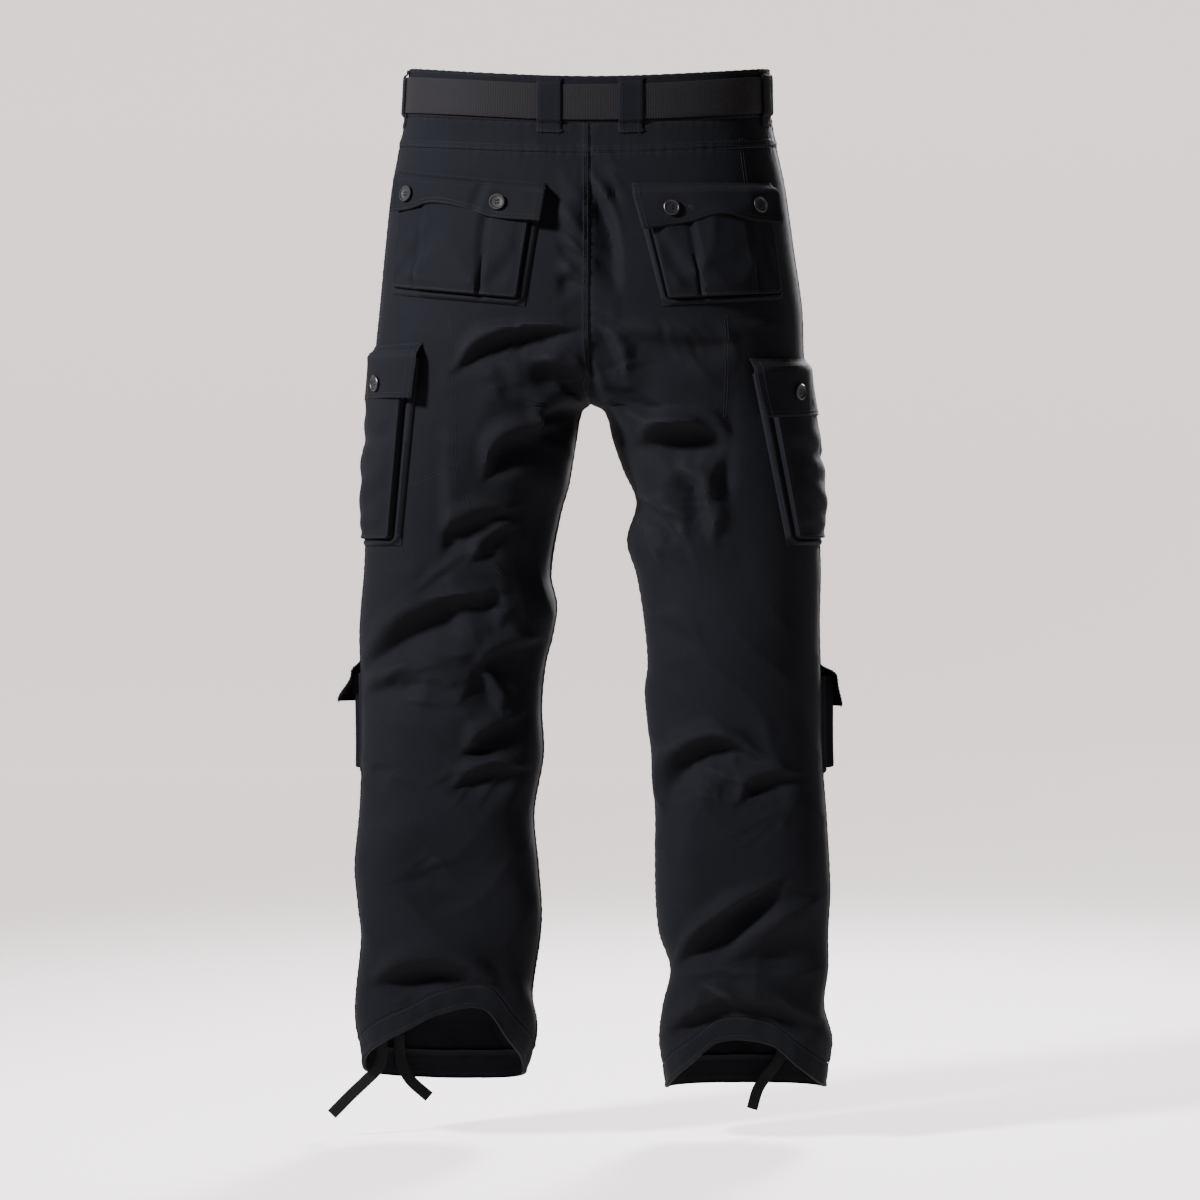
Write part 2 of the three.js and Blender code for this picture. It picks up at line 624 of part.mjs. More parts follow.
const POCKETS = [
  {
    name: "seat_pocket_left", flapName: "seat_flap_left", side: "left", pleat: 2,
    near: backEdge("left", 48, 67), far: backEdge("left", 195, 206),
    flapTop: { near: 117, far: 106 }, top: { near: 132, far: 121 }, bottom: { near: 252, far: 238 },
    rise: { near: 6, middle: 6, far: 4 }, reach: SEAT_FLAP_REACH.left, flare: 0,
    buttons: [{ across: 0.24, along: 0.62 }, { across: 0.84, along: 0.62 }],
  },
  {
    name: "seat_pocket_right", flapName: "seat_flap_right", side: "right", pleat: 2,
    near: backEdge("right", 46, 75), far: backEdge("right", 186, 200),
    flapTop: { near: 117, far: 121 }, top: { near: 132, far: 136 }, bottom: { near: 252, far: 244 },
    rise: { near: 6, middle: 6, far: 4 }, reach: SEAT_FLAP_REACH.right, flare: 0,
    buttons: [{ across: 0.2, along: 0.62 }, { across: 0.8, along: 0.6 }],
  },
  {
    name: "cargo_pocket_left", flapName: "cargo_flap_left", side: "left", pleat: 0,
    near: backEdge("left", 176, 196), far: seamEdge("left", -86, -86),
    flapTop: { near: 290, far: 296 }, top: { near: 306, far: 311 }, bottom: { near: 500, far: 506 },
    rise: { near: 9, middle: 3, far: 8 }, reach: STRAIGHT_REACH(56), flare: 0,
    buttons: [{ across: 0.22, along: 0.72 }, { across: 0.8, along: 0.72 }],
  },
  {
    name: "cargo_pocket_right", flapName: "cargo_flap_right", side: "right", pleat: 0,
    near: backEdge("right", 168, 205), far: seamEdge("right", -86, -86),
    flapTop: { near: 306, far: 304 }, top: { near: 322, far: 320 }, bottom: { near: 500, far: 504 },
    rise: { near: 9, middle: 3, far: 8 }, reach: STRAIGHT_REACH(61), flare: 0,
    buttons: [{ across: 0.2, along: 0.58 }, { across: 0.8, along: 0.62 }],
  },
  {
    name: "knee_pocket_left", flapName: "knee_flap_left", side: "left", pleat: 0,
    near: seamEdge("left", -8, -12), far: seamEdge("left", -148, -148),
    flapTop: { near: 624, far: 630 }, top: { near: 638, far: 644 }, bottom: { near: 748, far: 750 },
    rise: { near: 7, middle: 9, far: 8 }, reach: STRAIGHT_REACH(44), flare: 13,
    buttons: [{ across: 0.5, along: 0.62 }],
  },
  {
    name: "knee_pocket_right", flapName: "knee_flap_right", side: "right", pleat: 0,
    near: seamEdge("right", -8, -12), far: seamEdge("right", -148, -148),
    flapTop: { near: 628, far: 632 }, top: { near: 642, far: 646 }, bottom: { near: 748, far: 750 },
    rise: { near: 13, middle: 11, far: 9 }, reach: STRAIGHT_REACH(46), flare: 4,
    buttons: [{ across: 0.5, along: 0.62 }],
  },
];
const POCKET_CLOTH = 1.4;
const POCKET_SEAT = 0.7;
const GUSSET = 0.012;
const PLEAT = { from: 0.3, to: 0.7, edge: 0.015 };
const FLAP_RISES_IN = 12;
const FLAP_CLEARANCE = 1.1;
const FLAP_OVERHANG = 0.015;

function pocketRise(pocket, s) {
  const rise = pocket.rise;
  return s < 0.5 ? mix(rise.near, rise.middle, s * 2) : mix(rise.middle, rise.far, s * 2 - 1);
}

function pocketPoint(pocket, s, t, down, lift) {
  const turn = mix(pocket.near(t, down), pocket.far(t, down), s);
  return raised(pocket.side, turn, down, lift);
}

// Places across a pocket where its face and its flap both have an edge.
function faceStops(pocket) {
  if (!pocket.pleat) return steps(0.1, 0.9, 8);
  const { from, to, edge } = PLEAT;
  return [0.15, from, from + edge, 0.5, to - edge, to, 0.85];
}

// Body: a face held up by a gusset on its two sides and its foot, open at the top under the flap.
function pocketBody(pocket) {
  const acrossStops = [0, GUSSET, ...faceStops(pocket), 1 - GUSSET, 1];
  const downStops = [0, 0.12, 0.25, 0.45, 0.7, 1 - GUSSET, 1];
  const inset = POCKET_CLOTH / 150;
  const isEdge = (i, list) => i === 0 || i === list.length - 1;
  const inPleat = (s) => s > PLEAT.from + 0.001 && s < PLEAT.to - 0.001;
  const grid = (shrink, thickness) =>
    downStops.map((t, row) =>
      acrossStops.map((s, column) => {
        const held = isEdge(column, acrossStops) || row === downStops.length - 1;
        const pleat = pocket.pleat && inPleat(s) ? pocket.pleat : 0;
        const face = POCKET_SEAT + pocketRise(pocket, s) + pleat + thickness;
        const lift = held ? POCKET_SEAT : face;
        const u = mix(shrink, 1 - shrink, s);
        const v = t * (1 - shrink);
        const top = mix(pocket.top.near, pocket.top.far, u);
        const bottom = mix(pocket.bottom.near, pocket.bottom.far, u);
        return pocketPoint(pocket, u, v, mix(top, bottom, v), lift);
      })
    );
  return wall(grid(0, POCKET_CLOTH), grid(inset, 0));
}

// A place on a flap, with its height off the cloth under it.
function flapPoint(pocket, s, t, extra) {
  const top = mix(pocket.flapTop.near, pocket.flapTop.far, s);
  const down = top + t * read(pocket.reach, "across", "reach", s);
  const face = POCKET_SEAT + pocketRise(pocket, s) + pocket.pleat + POCKET_CLOTH;
  const lift = mix(POCKET_SEAT, face + FLAP_CLEARANCE, smoothStep(0, FLAP_RISES_IN, down - top));
  const flare = pocket.flare * smoothStep(0.3, 1, t) * (1 - smoothStep(0, 0.35, s));
  const pocketDown = (down - pocket.top.near) / (pocket.bottom.near - pocket.top.near);
  return pocketPoint(pocket, s, Math.max(0, pocketDown), down, lift + flare + extra);
}

function pocketFlap(pocket) {
  const acrossStops = [-FLAP_OVERHANG, ...faceStops(pocket), 1 + FLAP_OVERHANG];
  const reachAt = (s) => read(pocket.reach, "across", "reach", s);
  const rowStops = [
    () => 0,
    (s) => FLAP_RISES_IN / 2 / reachAt(s),
    (s) => FLAP_RISES_IN / reachAt(s),
    (s) => mix(FLAP_RISES_IN / reachAt(s), 1, 0.5),
    () => 1,
  ];
  const grid = (extra) =>
    rowStops.map((stop) => acrossStops.map((s) => flapPoint(pocket, s, stop(s), extra)));
  return wall(grid(POCKET_CLOTH), grid(0));
}

function buttonGeometry() {
  const { radius, height, rim, dish } = BUTTON;
  const profile = [
    new THREE.Vector2(0, 0),
    new THREE.Vector2(radius, 0),
    new THREE.Vector2(radius, height),
    new THREE.Vector2(radius - rim, height),
    new THREE.Vector2(radius - rim, height - dish),
    new THREE.Vector2(0, height - dish),
  ];
  return new THREE.LatheGeometry(profile, 10);
}

for (const pocket of POCKETS) {
  add(pocket.name, pocketBody(pocket), COLOUR.twill);
  add(pocket.flapName, pocketFlap(pocket), COLOUR.twill);
  pocket.buttons.forEach((place, i) => {
    const seat = flapPoint(pocket, place.across, place.along, POCKET_CLOTH + BUTTON.seat);
    const top = mix(pocket.flapTop.near, pocket.flapTop.far, place.across);
    const down = top + place.along * read(pocket.reach, "across", "reach", place.across);
    const turn = mix(pocket.near(0, down), pocket.far(0, down), place.across);
    const button = add(
      `${pocket.flapName}_button_${i + 1}`, buttonGeometry(), COLOUR.button, 0.5
    );
    button.position.copy(seat);
    button.quaternion.setFromUnitVectors(
      new THREE.Vector3(0, 1, 0), clothNormal(pocket.side, turn, down)
    );
  });
}

// Waist button: under the belt at the centre front, on the wearer's left end of the waistband.
const WAIST_BUTTON = { across: 9, down: 28, scale: 0.7 };
{
  const { across: x, down, scale } = WAIST_BUTTON;
  const turn = 2 * Math.PI - turnAt("left", down, x);
  const geometry = buttonGeometry().scale(scale, scale, scale);
  const button = add("waist_button", geometry, COLOUR.button, 0.5);
  button.position.copy(raised("left", turn, down, SEAM_GAP));
  button.quaternion.setFromUnitVectors(
    new THREE.Vector3(0, 1, 0), clothNormal("left", turn, down)
  );
}

// Hem tapes: the free ends of the flat drawstrings, out of the hem casings. Routes chosen by eye.
const TAPE = { width: 12, thickness: 1.4, sides: 8, steps: 14 };
const TAPE_ROUTES = {
  hem_tape_left_side: [
    [223, -22, -1030], [223, -22, -1050], [228, -21, -1063], [241, -19, -1076],
    [256, -16, -1090], [276, -12, -1110],
  ],
  hem_tape_left_front: [
    [206, -53.6, -1030], [205, -53.8, -1050], [201, -52, -1066], [192, -49, -1080],
    [173, -44, -1096],
  ],
  hem_tape_right_front: [
    [-214, -53, -1028], [-209, -53, -1044], [-201, -51.5, -1060], [-189, -49.5, -1075],
    [-180, -46, -1089], [-174, -44, -1109],
  ],
};
for (const [name, route] of Object.entries(TAPE_ROUTES)) {
  const path = new THREE.CatmullRomCurve3(route.map((p) => new THREE.Vector3(...p)));
  const section = new THREE.Shape(
    steps(0, 2 * Math.PI, TAPE.sides).slice(0, -1).map(
      (a) => new THREE.Vector2((TAPE.thickness / 2) * Math.cos(a), (TAPE.width / 2) * Math.sin(a))
    )
  );
  const geometry = new THREE.ExtrudeGeometry(section, { steps: TAPE.steps, extrudePath: path });
  add(name, geometry, COLOUR.twill);
}

export default group;
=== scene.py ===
import math
import random

import bpy
import numpy as np
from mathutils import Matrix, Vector


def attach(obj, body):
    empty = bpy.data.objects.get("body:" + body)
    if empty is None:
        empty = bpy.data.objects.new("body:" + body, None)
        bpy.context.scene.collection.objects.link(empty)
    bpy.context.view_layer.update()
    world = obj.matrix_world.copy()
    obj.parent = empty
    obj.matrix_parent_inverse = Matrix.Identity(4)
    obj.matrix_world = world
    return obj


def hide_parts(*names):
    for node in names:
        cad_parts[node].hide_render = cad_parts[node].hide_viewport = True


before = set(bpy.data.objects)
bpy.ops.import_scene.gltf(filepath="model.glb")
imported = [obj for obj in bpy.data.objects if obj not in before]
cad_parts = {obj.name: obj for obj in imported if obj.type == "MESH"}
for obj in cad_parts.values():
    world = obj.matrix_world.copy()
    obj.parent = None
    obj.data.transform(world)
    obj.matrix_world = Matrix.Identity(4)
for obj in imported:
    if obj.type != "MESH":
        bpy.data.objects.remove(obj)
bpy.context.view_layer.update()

bl_info = {
    "name": "Cargo trousers",
    "version": (1, 0, 0),
    "blender": (4, 5, 0),
    "location": "View3D > Sidebar > Trousers",
    "description": "Builds black twill cargo trousers, filled out with nobody in them, with a webbing belt",
    "category": "Add Mesh",
}

# Tables are in millimetres below the waist, as the garment is cut; meshes are in metres.
MM = 0.001
BODY = "root"
# Room left between neighbouring pieces, and how far a panel passes the centre plane at a centre seam.
SEAM_GAP = 0.3
PANEL_LAP = 0.12
WAISTBAND_DEPTH = 50.0
YOKE_SEAM = 82.0
CROTCH = 352.0
HEM_CASING = 26.0
HEM_DOWN = {"left": 1078.0, "right": 1083.0}
CORNER_FULLNESS = 0.07
BACK_DIP = 15.0
FRONT_DIP = 28.0
DIP_ENDS_AT = 300.0
HEM_LIFT_STARTS_AT = 700.0
SIGN = {"left": 1.0, "right": -1.0}

# Outline from behind: down, inner edge and outer edge of each half from the centre plane.
OUTLINE = {
    "left": [
        (0, -191, 191), (50, -194, 194), (82, -198, 200), (125, -190, 208), (189, -168, 215),
        (252, -128, 221), (300, -84, 226), (328, -46, 227.6), (344, -16, 228.6), (352, 0, 229),
        (360, 9, 229.8), (390, 15, 232.4), (438, 23, 235), (470, 32, 236), (533, 42, 239),
        (565, 36, 242), (597, 40, 244), (629, 48, 243), (676, 52, 242), (724, 50, 242),
        (788, 60, 244), (851, 55, 249), (899, 52, 245), (931, 54, 242), (994, 62, 248),
        (1026, 57, 249), (1055, 61, 245), (1085, 72, 241),
    ],
    "right": [
        (0, -191, 190), (50, -194, 191), (82, -198, 196), (125, -190, 205), (189, -168, 214),
        (252, -128, 223), (300, -84, 225), (328, -46, 228), (344, -16, 230), (352, 0, 231),
        (360, 15, 232), (390, 24, 236.5), (422, 35, 240.5), (456, 49, 243), (497, 39, 243),
        (533, 49, 244), (581, 57, 243), (629, 61, 244), (660, 58, 245), (724, 65, 246),
        (788, 69, 250), (867, 69, 254), (915, 73, 252), (954, 85, 252), (994, 77, 248),
        (1030, 73, 257), (1058, 77, 254), (1090, 82, 250),
    ],
}

# Sections from the side: down, fullest part's distance from the centre plane, front and back.
SECTIONS = [
    (0, 0, -107, 107), (50, 0, -109, 111), (125, 9, -115, 124), (210, 30, -121, 135),
    (290, 66, -121, 131), (352, 98, -116, 117), (420, 124, -111, 106), (540, 141, -98, 87),
    (660, 147, -86, 72), (720, 148, -83, 70), (860, 152, -66, 78), (960, 156, -64, 70),
    (1090, 160, -68, 62),
]

# How far the hem rides up: degrees round the leg from the inseam over the back, and lift.
HEM_LIFT = {
    "left": [
        (0, 14), (17, 30), (40, 54), (60, 89), (90, 84), (114, 66), (165, 30), (200, 12),
        (250, 1), (310, 1), (360, 14),
    ],
    "right": [
        (0, 3), (23, 13), (50, 35), (73, 60), (108, 57), (128, 32), (150, 13), (180, 4),
        (240, 0), (320, 0), (360, 3),
    ],
}

# Main folds: face, places along the fold, half width, depth, and how far its upper lip stands up.
FOLDS = [
    ("back", ((1, 122), (-16, 167), (-37, 215), (-56, 247)), 12, -11, 0.25),
    ("back", ((-22, 125), (-34, 152), (-49, 191)), 11, -8, 0.2),
    ("back", ((5, 93), (-12, 106), (-28, 117)), 9, -3, 0),
    ("back", ((58, 146), (34, 168), (7, 189)), 10, -6.5, 0.2),
    ("back", ((62, 168), (34, 191), (7, 206)), 10, -7, 0.2),
    ("back", ((68, 202), (38, 222), (7, 232)), 10, -6.5, 0.2),
    ("back", ((-7, 201), (-23, 220), (-48, 236)), 10, -3.5, 0.1),
    ("back", ((-6, 263), (-53, 289), (-117, 295), (-154, 289)), 13, -6, 0.1),
    ("back", ((136, 320), (108, 298), (64, 285), (13, 279)), 11, -11, 0.3),
    ("back", ((63, 312), (32, 324), (-2, 331)), 11, -8, 0.2),
    ("back", ((96, 312), (86, 330), (88, 352)), 9, -2.5, 0.1),
    ("back", ((7, 357), (36, 367), (58, 384)), 14, -13, 0.2),
    ("back", ((23, 379), (48, 390), (83, 399), (106, 430)), 13, -13, 0.3),
    ("back", ((74, 466), (117, 479), (154, 496), (179, 522)), 12, -9, 0.3),
    ("back", ((73, 483), (95, 497), (121, 519)), 12, -8, 0.2),
    ("back", ((242, 634), (212, 610), (184, 587), (138, 567), (90, 551)), 14, -12, 0.12),
    ("back", ((101, 548), (105, 568), (98, 590)), 9, -4, 0.1),
    ("back", ((240, 660), (210, 649), (172, 632)), 12, -8, 0.1),
    ("back", ((119, 632), (85, 618), (48, 602)), 12, -8, 0.2),
    ("back", ((118, 632), (107, 655), (98, 678)), 10, -6, 0.1),
    ("back", ((131, 721), (101, 703), (70, 683)), 12, -9, 0.25),
    ("back", ((144, 756), (106, 743), (66, 738)), 11, -8, 0.2),
    ("back", ((252, 748), (235, 740), (206, 735)), 9, -5, 0.1),
    ("back", ((231, 967), (191, 956), (159, 954), (131, 962), (99, 987)), 17, -15, 0.2),
    ("back", ((206, 985), (170, 977), (130, 976)), 9, -5, 0.1),
    ("back", ((-7, 275), (-19, 297), (-34, 326)), 10, -8, 0.1),
    ("back", ((-8, 316), (-23, 347), (-59, 370), (-107, 375), (-144, 400)), 10, 9, 0),
    ("back", ((-53, 396), (-83, 388), (-117, 387), (-142, 400)), 15, -14, 0.2),
    ("back", ((-91, 420), (-110, 454), (-122, 497)), 13, -11, 0.2),
    ("back", ((-51, 452), (-74, 473), (-98, 499)), 12, -9, 0.2),
    ("back", ((-45, 475), (-56, 501), (-70, 520)), 11, -6, 0.2),
    ("back", ((-143, 406), (-134, 443), (-125, 477)), 11, -5, 0.1),
    ("back", ((-82, 778), (-86, 750), (-106, 724), (-138, 713), (-178, 727)), 13, -13, 0.3),
    ("back", ((-157, 771), (-180, 752), (-219, 745)), 11, -8, 0.2),
    ("back", ((-93, 944), (-138, 904), (-201, 854)), 12, -13, 0.3),
    ("back", ((-140, 933), (-186, 896), (-246, 870)), 12, 6, 0),
    ("back", ((-140, 943), (-191, 948), (-246, 947)), 9, 5, 0),
    ("back", ((-77, 1020), (-117, 1003), (-162, 992), (-244, 1009)), 15, -14, 0.2),
    ("back", ((-114, 967), (-134, 977), (-152, 987)), 8, -6, 0.1),
    ("back", ((-62, 575), (-87, 589), (-116, 610)), 11, -4, 0.1),
    ("front", ((30, 300), (120, 268)), 10, -8.75, 0.3),
    ("front", ((26, 345), (110, 350)), 10, -8.75, 0.3),
    ("front", ((14, 262), (70, 226)), 9, -5, 0.2),
    ("front", ((-26, 318), (-118, 290)), 10, -8.75, 0.3),
    ("front", ((-30, 372), (-104, 392)), 11, -8.75, 0.3),
    ("front", ((-12, 272), (-74, 240)), 9, -5, 0.2),
    ("front", ((92, 480), (176, 452)), 11, -8.75, 0.3),
    ("front", ((60, 428), (120, 410)), 9, -6.25, 0.2),
    ("front", ((-84, 500), (-150, 466)), 10, -8.75, 0.3),
    ("front", ((-62, 450), (-112, 432)), 9, -6.25, 0.2),
    ("front", ((62, 590), (160, 566)), 11, -10, 0.3),
    ("front", ((58, 668), (92, 690)), 9, -6.25, 0.2),
    ("front", ((-78, 588), (-180, 600)), 11, -10, 0.3),
    ("front", ((-72, 690), (-98, 672)), 9, -6.25, 0.2),
    ("front", ((72, 800), (190, 776)), 12, -10, 0.3),
    ("front", ((-92, 786), (-205, 806)), 12, -10, 0.3),
    ("front", ((90, 886), (222, 868)), 16, -8.75, 0.3),
    ("front", ((96, 930), (190, 944)), 12, -6.25, 0.2),
    ("front", ((-100, 880), (-226, 896)), 16, -8.75, 0.3),
    ("front", ((-96, 948), (-180, 930)), 12, -6.25, 0.2),
    ("front", ((84, 972), (200, 990)), 13, -10, 0.3),
    ("front", ((-104, 990), (-216, 972)), 13, -10, 0.3),
]

# Fans of small creases: face, root (across, down), direction in degrees (0 points to the wearer's
# left, 90 down), spread, number, length, half width, depth.
CREASE_FANS = [
    ("back", 6, 330, 190, 70, 6, 60, 4.0, -1.6),
    ("back", -8, 330, -15, 70, 6, 60, 4.0, -1.6),
    ("back", 58, 250, 60, 60, 4, 50, 4.0, -1.4),
    ("back", -70, 250, 120, 60, 4, 50, 4.0, -1.4),
    ("back", 70, 470, 20, 80, 7, 80, 4.5, -2.0),
    ("back", -58, 460, 150, 90, 7, 80, 4.5, -2.0),
    ("back", 200, 560, 200, 60, 6, 90, 5.0, -2.0),
    ("back", 225, 660, 190, 60, 6, 90, 5.0, -2.0),
    ("back", 70, 720, 20, 70, 7, 80, 4.5, -2.0),
    ("back", 90, 620, 10, 80, 5, 70, 4.5, -1.8),
    ("back", -88, 730, 175, 70, 6, 80, 4.5, -1.8),
    ("back", -225, 760, 20, 60, 5, 80, 5.0, -1.6),
    ("back", 220, 860, 195, 50, 5, 90, 6.0, -1.8),
    ("back", 80, 960, 10, 60, 5, 70, 5.0, -1.8),
    ("back", -90, 960, 170, 60, 6, 90, 5.0, -1.8),
    ("back", -225, 1000, 0, 60, 5, 80, 5.0, -1.8),
    ("back", 180, 100, 100, 90, 4, 24, 4.0, -0.8),
    ("back", -170, 100, 80, 90, 4, 24, 4.0, -0.8),
    ("front", 8, 330, -20, 80, 7, 70, 4.0, -1.8),
    ("front", -8, 330, 200, 80, 7, 70, 4.0, -1.8),
    ("front", 70, 700, 10, 90, 6, 60, 5.0, -1.8),
    ("front", -80, 700, 170, 90, 6, 60, 5.0, -1.8),
    ("front", 90, 960, 10, 60, 5, 80, 5.0, -1.8),
    ("front", -90, 960, 170, 60, 5, 80, 5.0, -1.8),
]

# Folds die away under the pockets, which hold the cloth flat: face, from, to, and how far out.
POCKET_GROUND = [
    ("back", 100, 262, 36), ("back", 284, 514, 158),
    ("front", 284, 514, 150), ("front", 616, 762, 90),
]
GROUND_EDGE = 14.0


def read(table, column, place):
    """Smooth value of one column of a table, by cubic steps between its rows."""
    rows = np.array(table, dtype=float)
    x, y = rows[:, 0], rows[:, column]
    ahead = np.minimum(np.arange(len(x)) + 1, len(x) - 1)
    behind = np.maximum(np.arange(len(x)) - 1, 0)
    slope = (y[ahead] - y[behind]) / (x[ahead] - x[behind])
    p = np.clip(np.asarray(place, dtype=float), x[0], x[-1])
    i = np.clip(np.searchsorted(x, p, side="right") - 1, 0, len(x) - 2)
    gap = x[i + 1] - x[i]
    t = (p - x[i]) / gap
    h = (1 - t) ** 2
    return ((1 + 2 * t) * h * y[i] + t * h * gap * slope[i]
            + t * t * (3 - 2 * t) * y[i + 1] + t * t * (t - 1) * gap * slope[i + 1])


def smooth_step(low, high, value):
    t = np.clip((np.asarray(value, dtype=float) - low) / (high - low), 0, 1)
    return t * t * (3 - 2 * t)


def mix(a, b, t):
    return a + (b - a) * t


def oval(side, down):
    """Centre, inward reach, outward reach, middle and half depth of a half's section."""
    inner, outer = (read(OUTLINE[side], k, down) for k in (1, 2))
    centre, front, back = (read(SECTIONS, k, down) for k in (1, 2, 3))
    return centre, centre - inner, outer - centre, (back + front) / 2, (back - front) / 2


def across(shape, turn):
    """Sideways place on a section. Turn 0 is the inner edge, pi/2 the back, pi the side seam."""
    centre, inwards, outwards, _, _ = shape
    reach = np.where(np.cos(turn) > 0, inwards, outwards)
    full = 1 + CORNER_FULLNESS * np.sin(2 * turn) ** 2
    return centre - reach * np.cos(turn) * full


def turn_at(side, down, place):
    """Turn at which the back of a half has a given sideways place."""
    down, place = np.broadcast_arrays(np.asarray(down, float), np.asarray(place, float))
    shape = oval(side, down)
    low, high = np.zeros(down.shape), np.full(down.shape, math.pi)
    for _ in range(30):
        mid = (low + high) / 2
        below = across(shape, mid) < place
        low, high = np.where(below, mid, low), np.where(below, high, mid)
    return (low + high) / 2


def turn_from_seam(side, down, length):
    """Turn a given length round from the side seam, backwards if positive."""
    down, length = np.broadcast_arrays(np.asarray(down, float), np.asarray(length, float))
    centre, inwards, outwards, middle, depth = oval(side, down)
    shape = (centre, inwards, outwards, middle, depth)
    step = 0.01
    turns = np.full(down.shape, math.pi)
    run = np.zeros(down.shape)
    for _ in range(260):
        new = turns - step * np.sign(length)
        dy = depth * (np.sin(new) - np.sin(turns))
        stretch = np.hypot(across(shape, new) - across(shape, turns), dy)
        share = np.clip((np.abs(length) - run) / np.maximum(stretch, 1e-9), 0, 1)
        turns = turns + (new - turns) * share
        run = run + stretch * share
        if np.all(share == 0):
            break
    return turns


def fold_chains(face):
    """Main folds of one face as lines through their points, then the small creases at their roots."""
    chains = [row[1:] for row in FOLDS if row[0] == face]
    draw = random.Random(7)
    for kind, x, down, heading, spread, count, length, width, depth in CREASE_FANS:
        for i in range(count):
            lean = math.radians(heading + spread * ((i + draw.uniform(0.2, 0.8)) / count - 0.5))
            start = draw.uniform(6, 26)
            reach = length * draw.uniform(0.55, 1.2)
            stops = (start, start + 0.5 * reach, start + reach)
            bow = draw.uniform(-0.12, 0.12) * reach
            ends = [(x + r * math.cos(lean) - b * math.sin(lean),
                     down + r * math.sin(lean) + b * math.cos(lean))
                    for r, b in zip(stops, (0, bow, 0))]
            size = draw.uniform(0.7, 1.3)
            if kind == face:
                chains.append((ends, width * size, 0.55 * depth * size, 0.2))
    return chains


def fold_lines(face):
    """Each fold as points along a smooth line, with its direction, width and depth at each."""
    lines = []
    for points, width, depth, lean in fold_chains(face):
        flat = [(x, down, 0.0) for x, down in points]
        length = sum(math.dist(a, b) for a, b in zip(points, points[1:]))
        count = max(8, round(length / 2.5))
        path, _ = smooth_path(flat, count)
        path = path[:, :2]
        heading = np.gradient(path, axis=0)
        heading /= np.linalg.norm(heading, axis=1, keepdims=True)
        share = np.linspace(0, 1, count)
        swell = smooth_step(-0.1, 0.35, share) * (1 - smooth_step(0.6, 1.1, share))
        lines.append((path, heading, width * (0.3 + 0.75 * swell), depth * swell, lean))
    return lines


def smooth_path(points, count):
    """Points evenly spaced along a Catmull-Rom curve."""
    p = np.array(points, dtype=float)
    p = np.concatenate([[2 * p[0] - p[1]], p, [2 * p[-1] - p[-2]]])
    fine = []
    for i in range(1, len(p) - 2):
        t = np.linspace(0, 1, 24, endpoint=False)[:, None]
        a, b, c, d = p[i - 1], p[i], p[i + 1], p[i + 2]
        fine.append(0.5 * (2 * b + (c - a) * t + (2 * a - 5 * b + 4 * c - d) * t ** 2
                           + (3 * b - a - 3 * c + d) * t ** 3))
    fine = np.concatenate(fine + [p[-2:-1]])
    run = np.concatenate([[0], np.cumsum(np.linalg.norm(np.diff(fine, axis=0), axis=1))])
    marks = np.linspace(0, run[-1], count)
    return np.stack([np.interp(marks, run, fine[:, k]) for k in range(3)], axis=1), run[-1]


FOLD_LINES = {face: fold_lines(face) for face in ("back", "front")}
# Fold profile above and below its line: the trough's width, then the lip's place, width and height.
UPPER_SIDE = (0.6, 1.3, 0.8, 0.5)
LOWER_SIDE = (1.5, 2.9, 1.4, 0.22)
# Broad hollows and swells: face, x, down, half width, half height and depth.
HOLLOWS = [
    ("back", 54, 480, 20, 42, -10), ("back", 66, 520, 20, 22, -6), ("back", 82, 642, 32, 24, -10),
    ("back", 160, 850, 80, 30, -12), ("back", 176, 822, 28, 24, -4), ("back", 150, 912, 80, 18, 4),
    ("back", 186, 962, 55, 14, -5), ("back", -54, 334, 25, 28, -8), ("back", -98, 393, 42, 12, -6),
    ("back", -192, 925, 54, 20, -8), ("back", -160, 1004, 60, 15, -5), ("back", 158, 690, 40, 26, 4),
    ("back", 150, 440, 26, 46, 5), ("back", 196, 560, 26, 34, 5), ("back", -150, 620, 52, 60, 4),
    ("back", -100, 850, 20, 60, 4), ("back", -120, 480, 16, 30, 3), ("back", 96, 350, 26, 16, 4),
    ("front", 120, 420, 40, 36, 4), ("front", -120, 420, 40, 36, 4), ("front", 140, 860, 60, 22, -7),
    ("front", -145, 880, 60, 22, -7),
]


# Faint creases all over: direction in degrees, spacing, height and a shift.
CRUMPLES = ((152, 58, 2.8, 0.4), (118, 43, 2.0, 2.1), (83, 71, 2.2, 3.7), (31, 52, 1.5, 5.0))


def crumple(x, down):
    """Soft creases that come and go, as on washed cotton. Their crests are sharper than their beds."""
    relief = np.zeros(x.shape)
    for degrees, spacing, height, shift in CRUMPLES:
        c, s = math.cos(math.radians(degrees)), math.sin(math.radians(degrees))
        along, off = x * c + down * s, down * c - x * s
        bend = 9 * np.sin(along / 47 + shift) + 5 * np.sin(along / 21 + 2 * shift)
        crest = 1 - np.abs(np.sin(math.pi * (off + bend) / spacing))
        comes = np.sin(along / 61 + shift * 3) * np.sin(off / 83 + along / 140 + shift)
        relief += height * crest ** 1.6 * np.clip(1.3 * comes, 0, 1)
    return relief


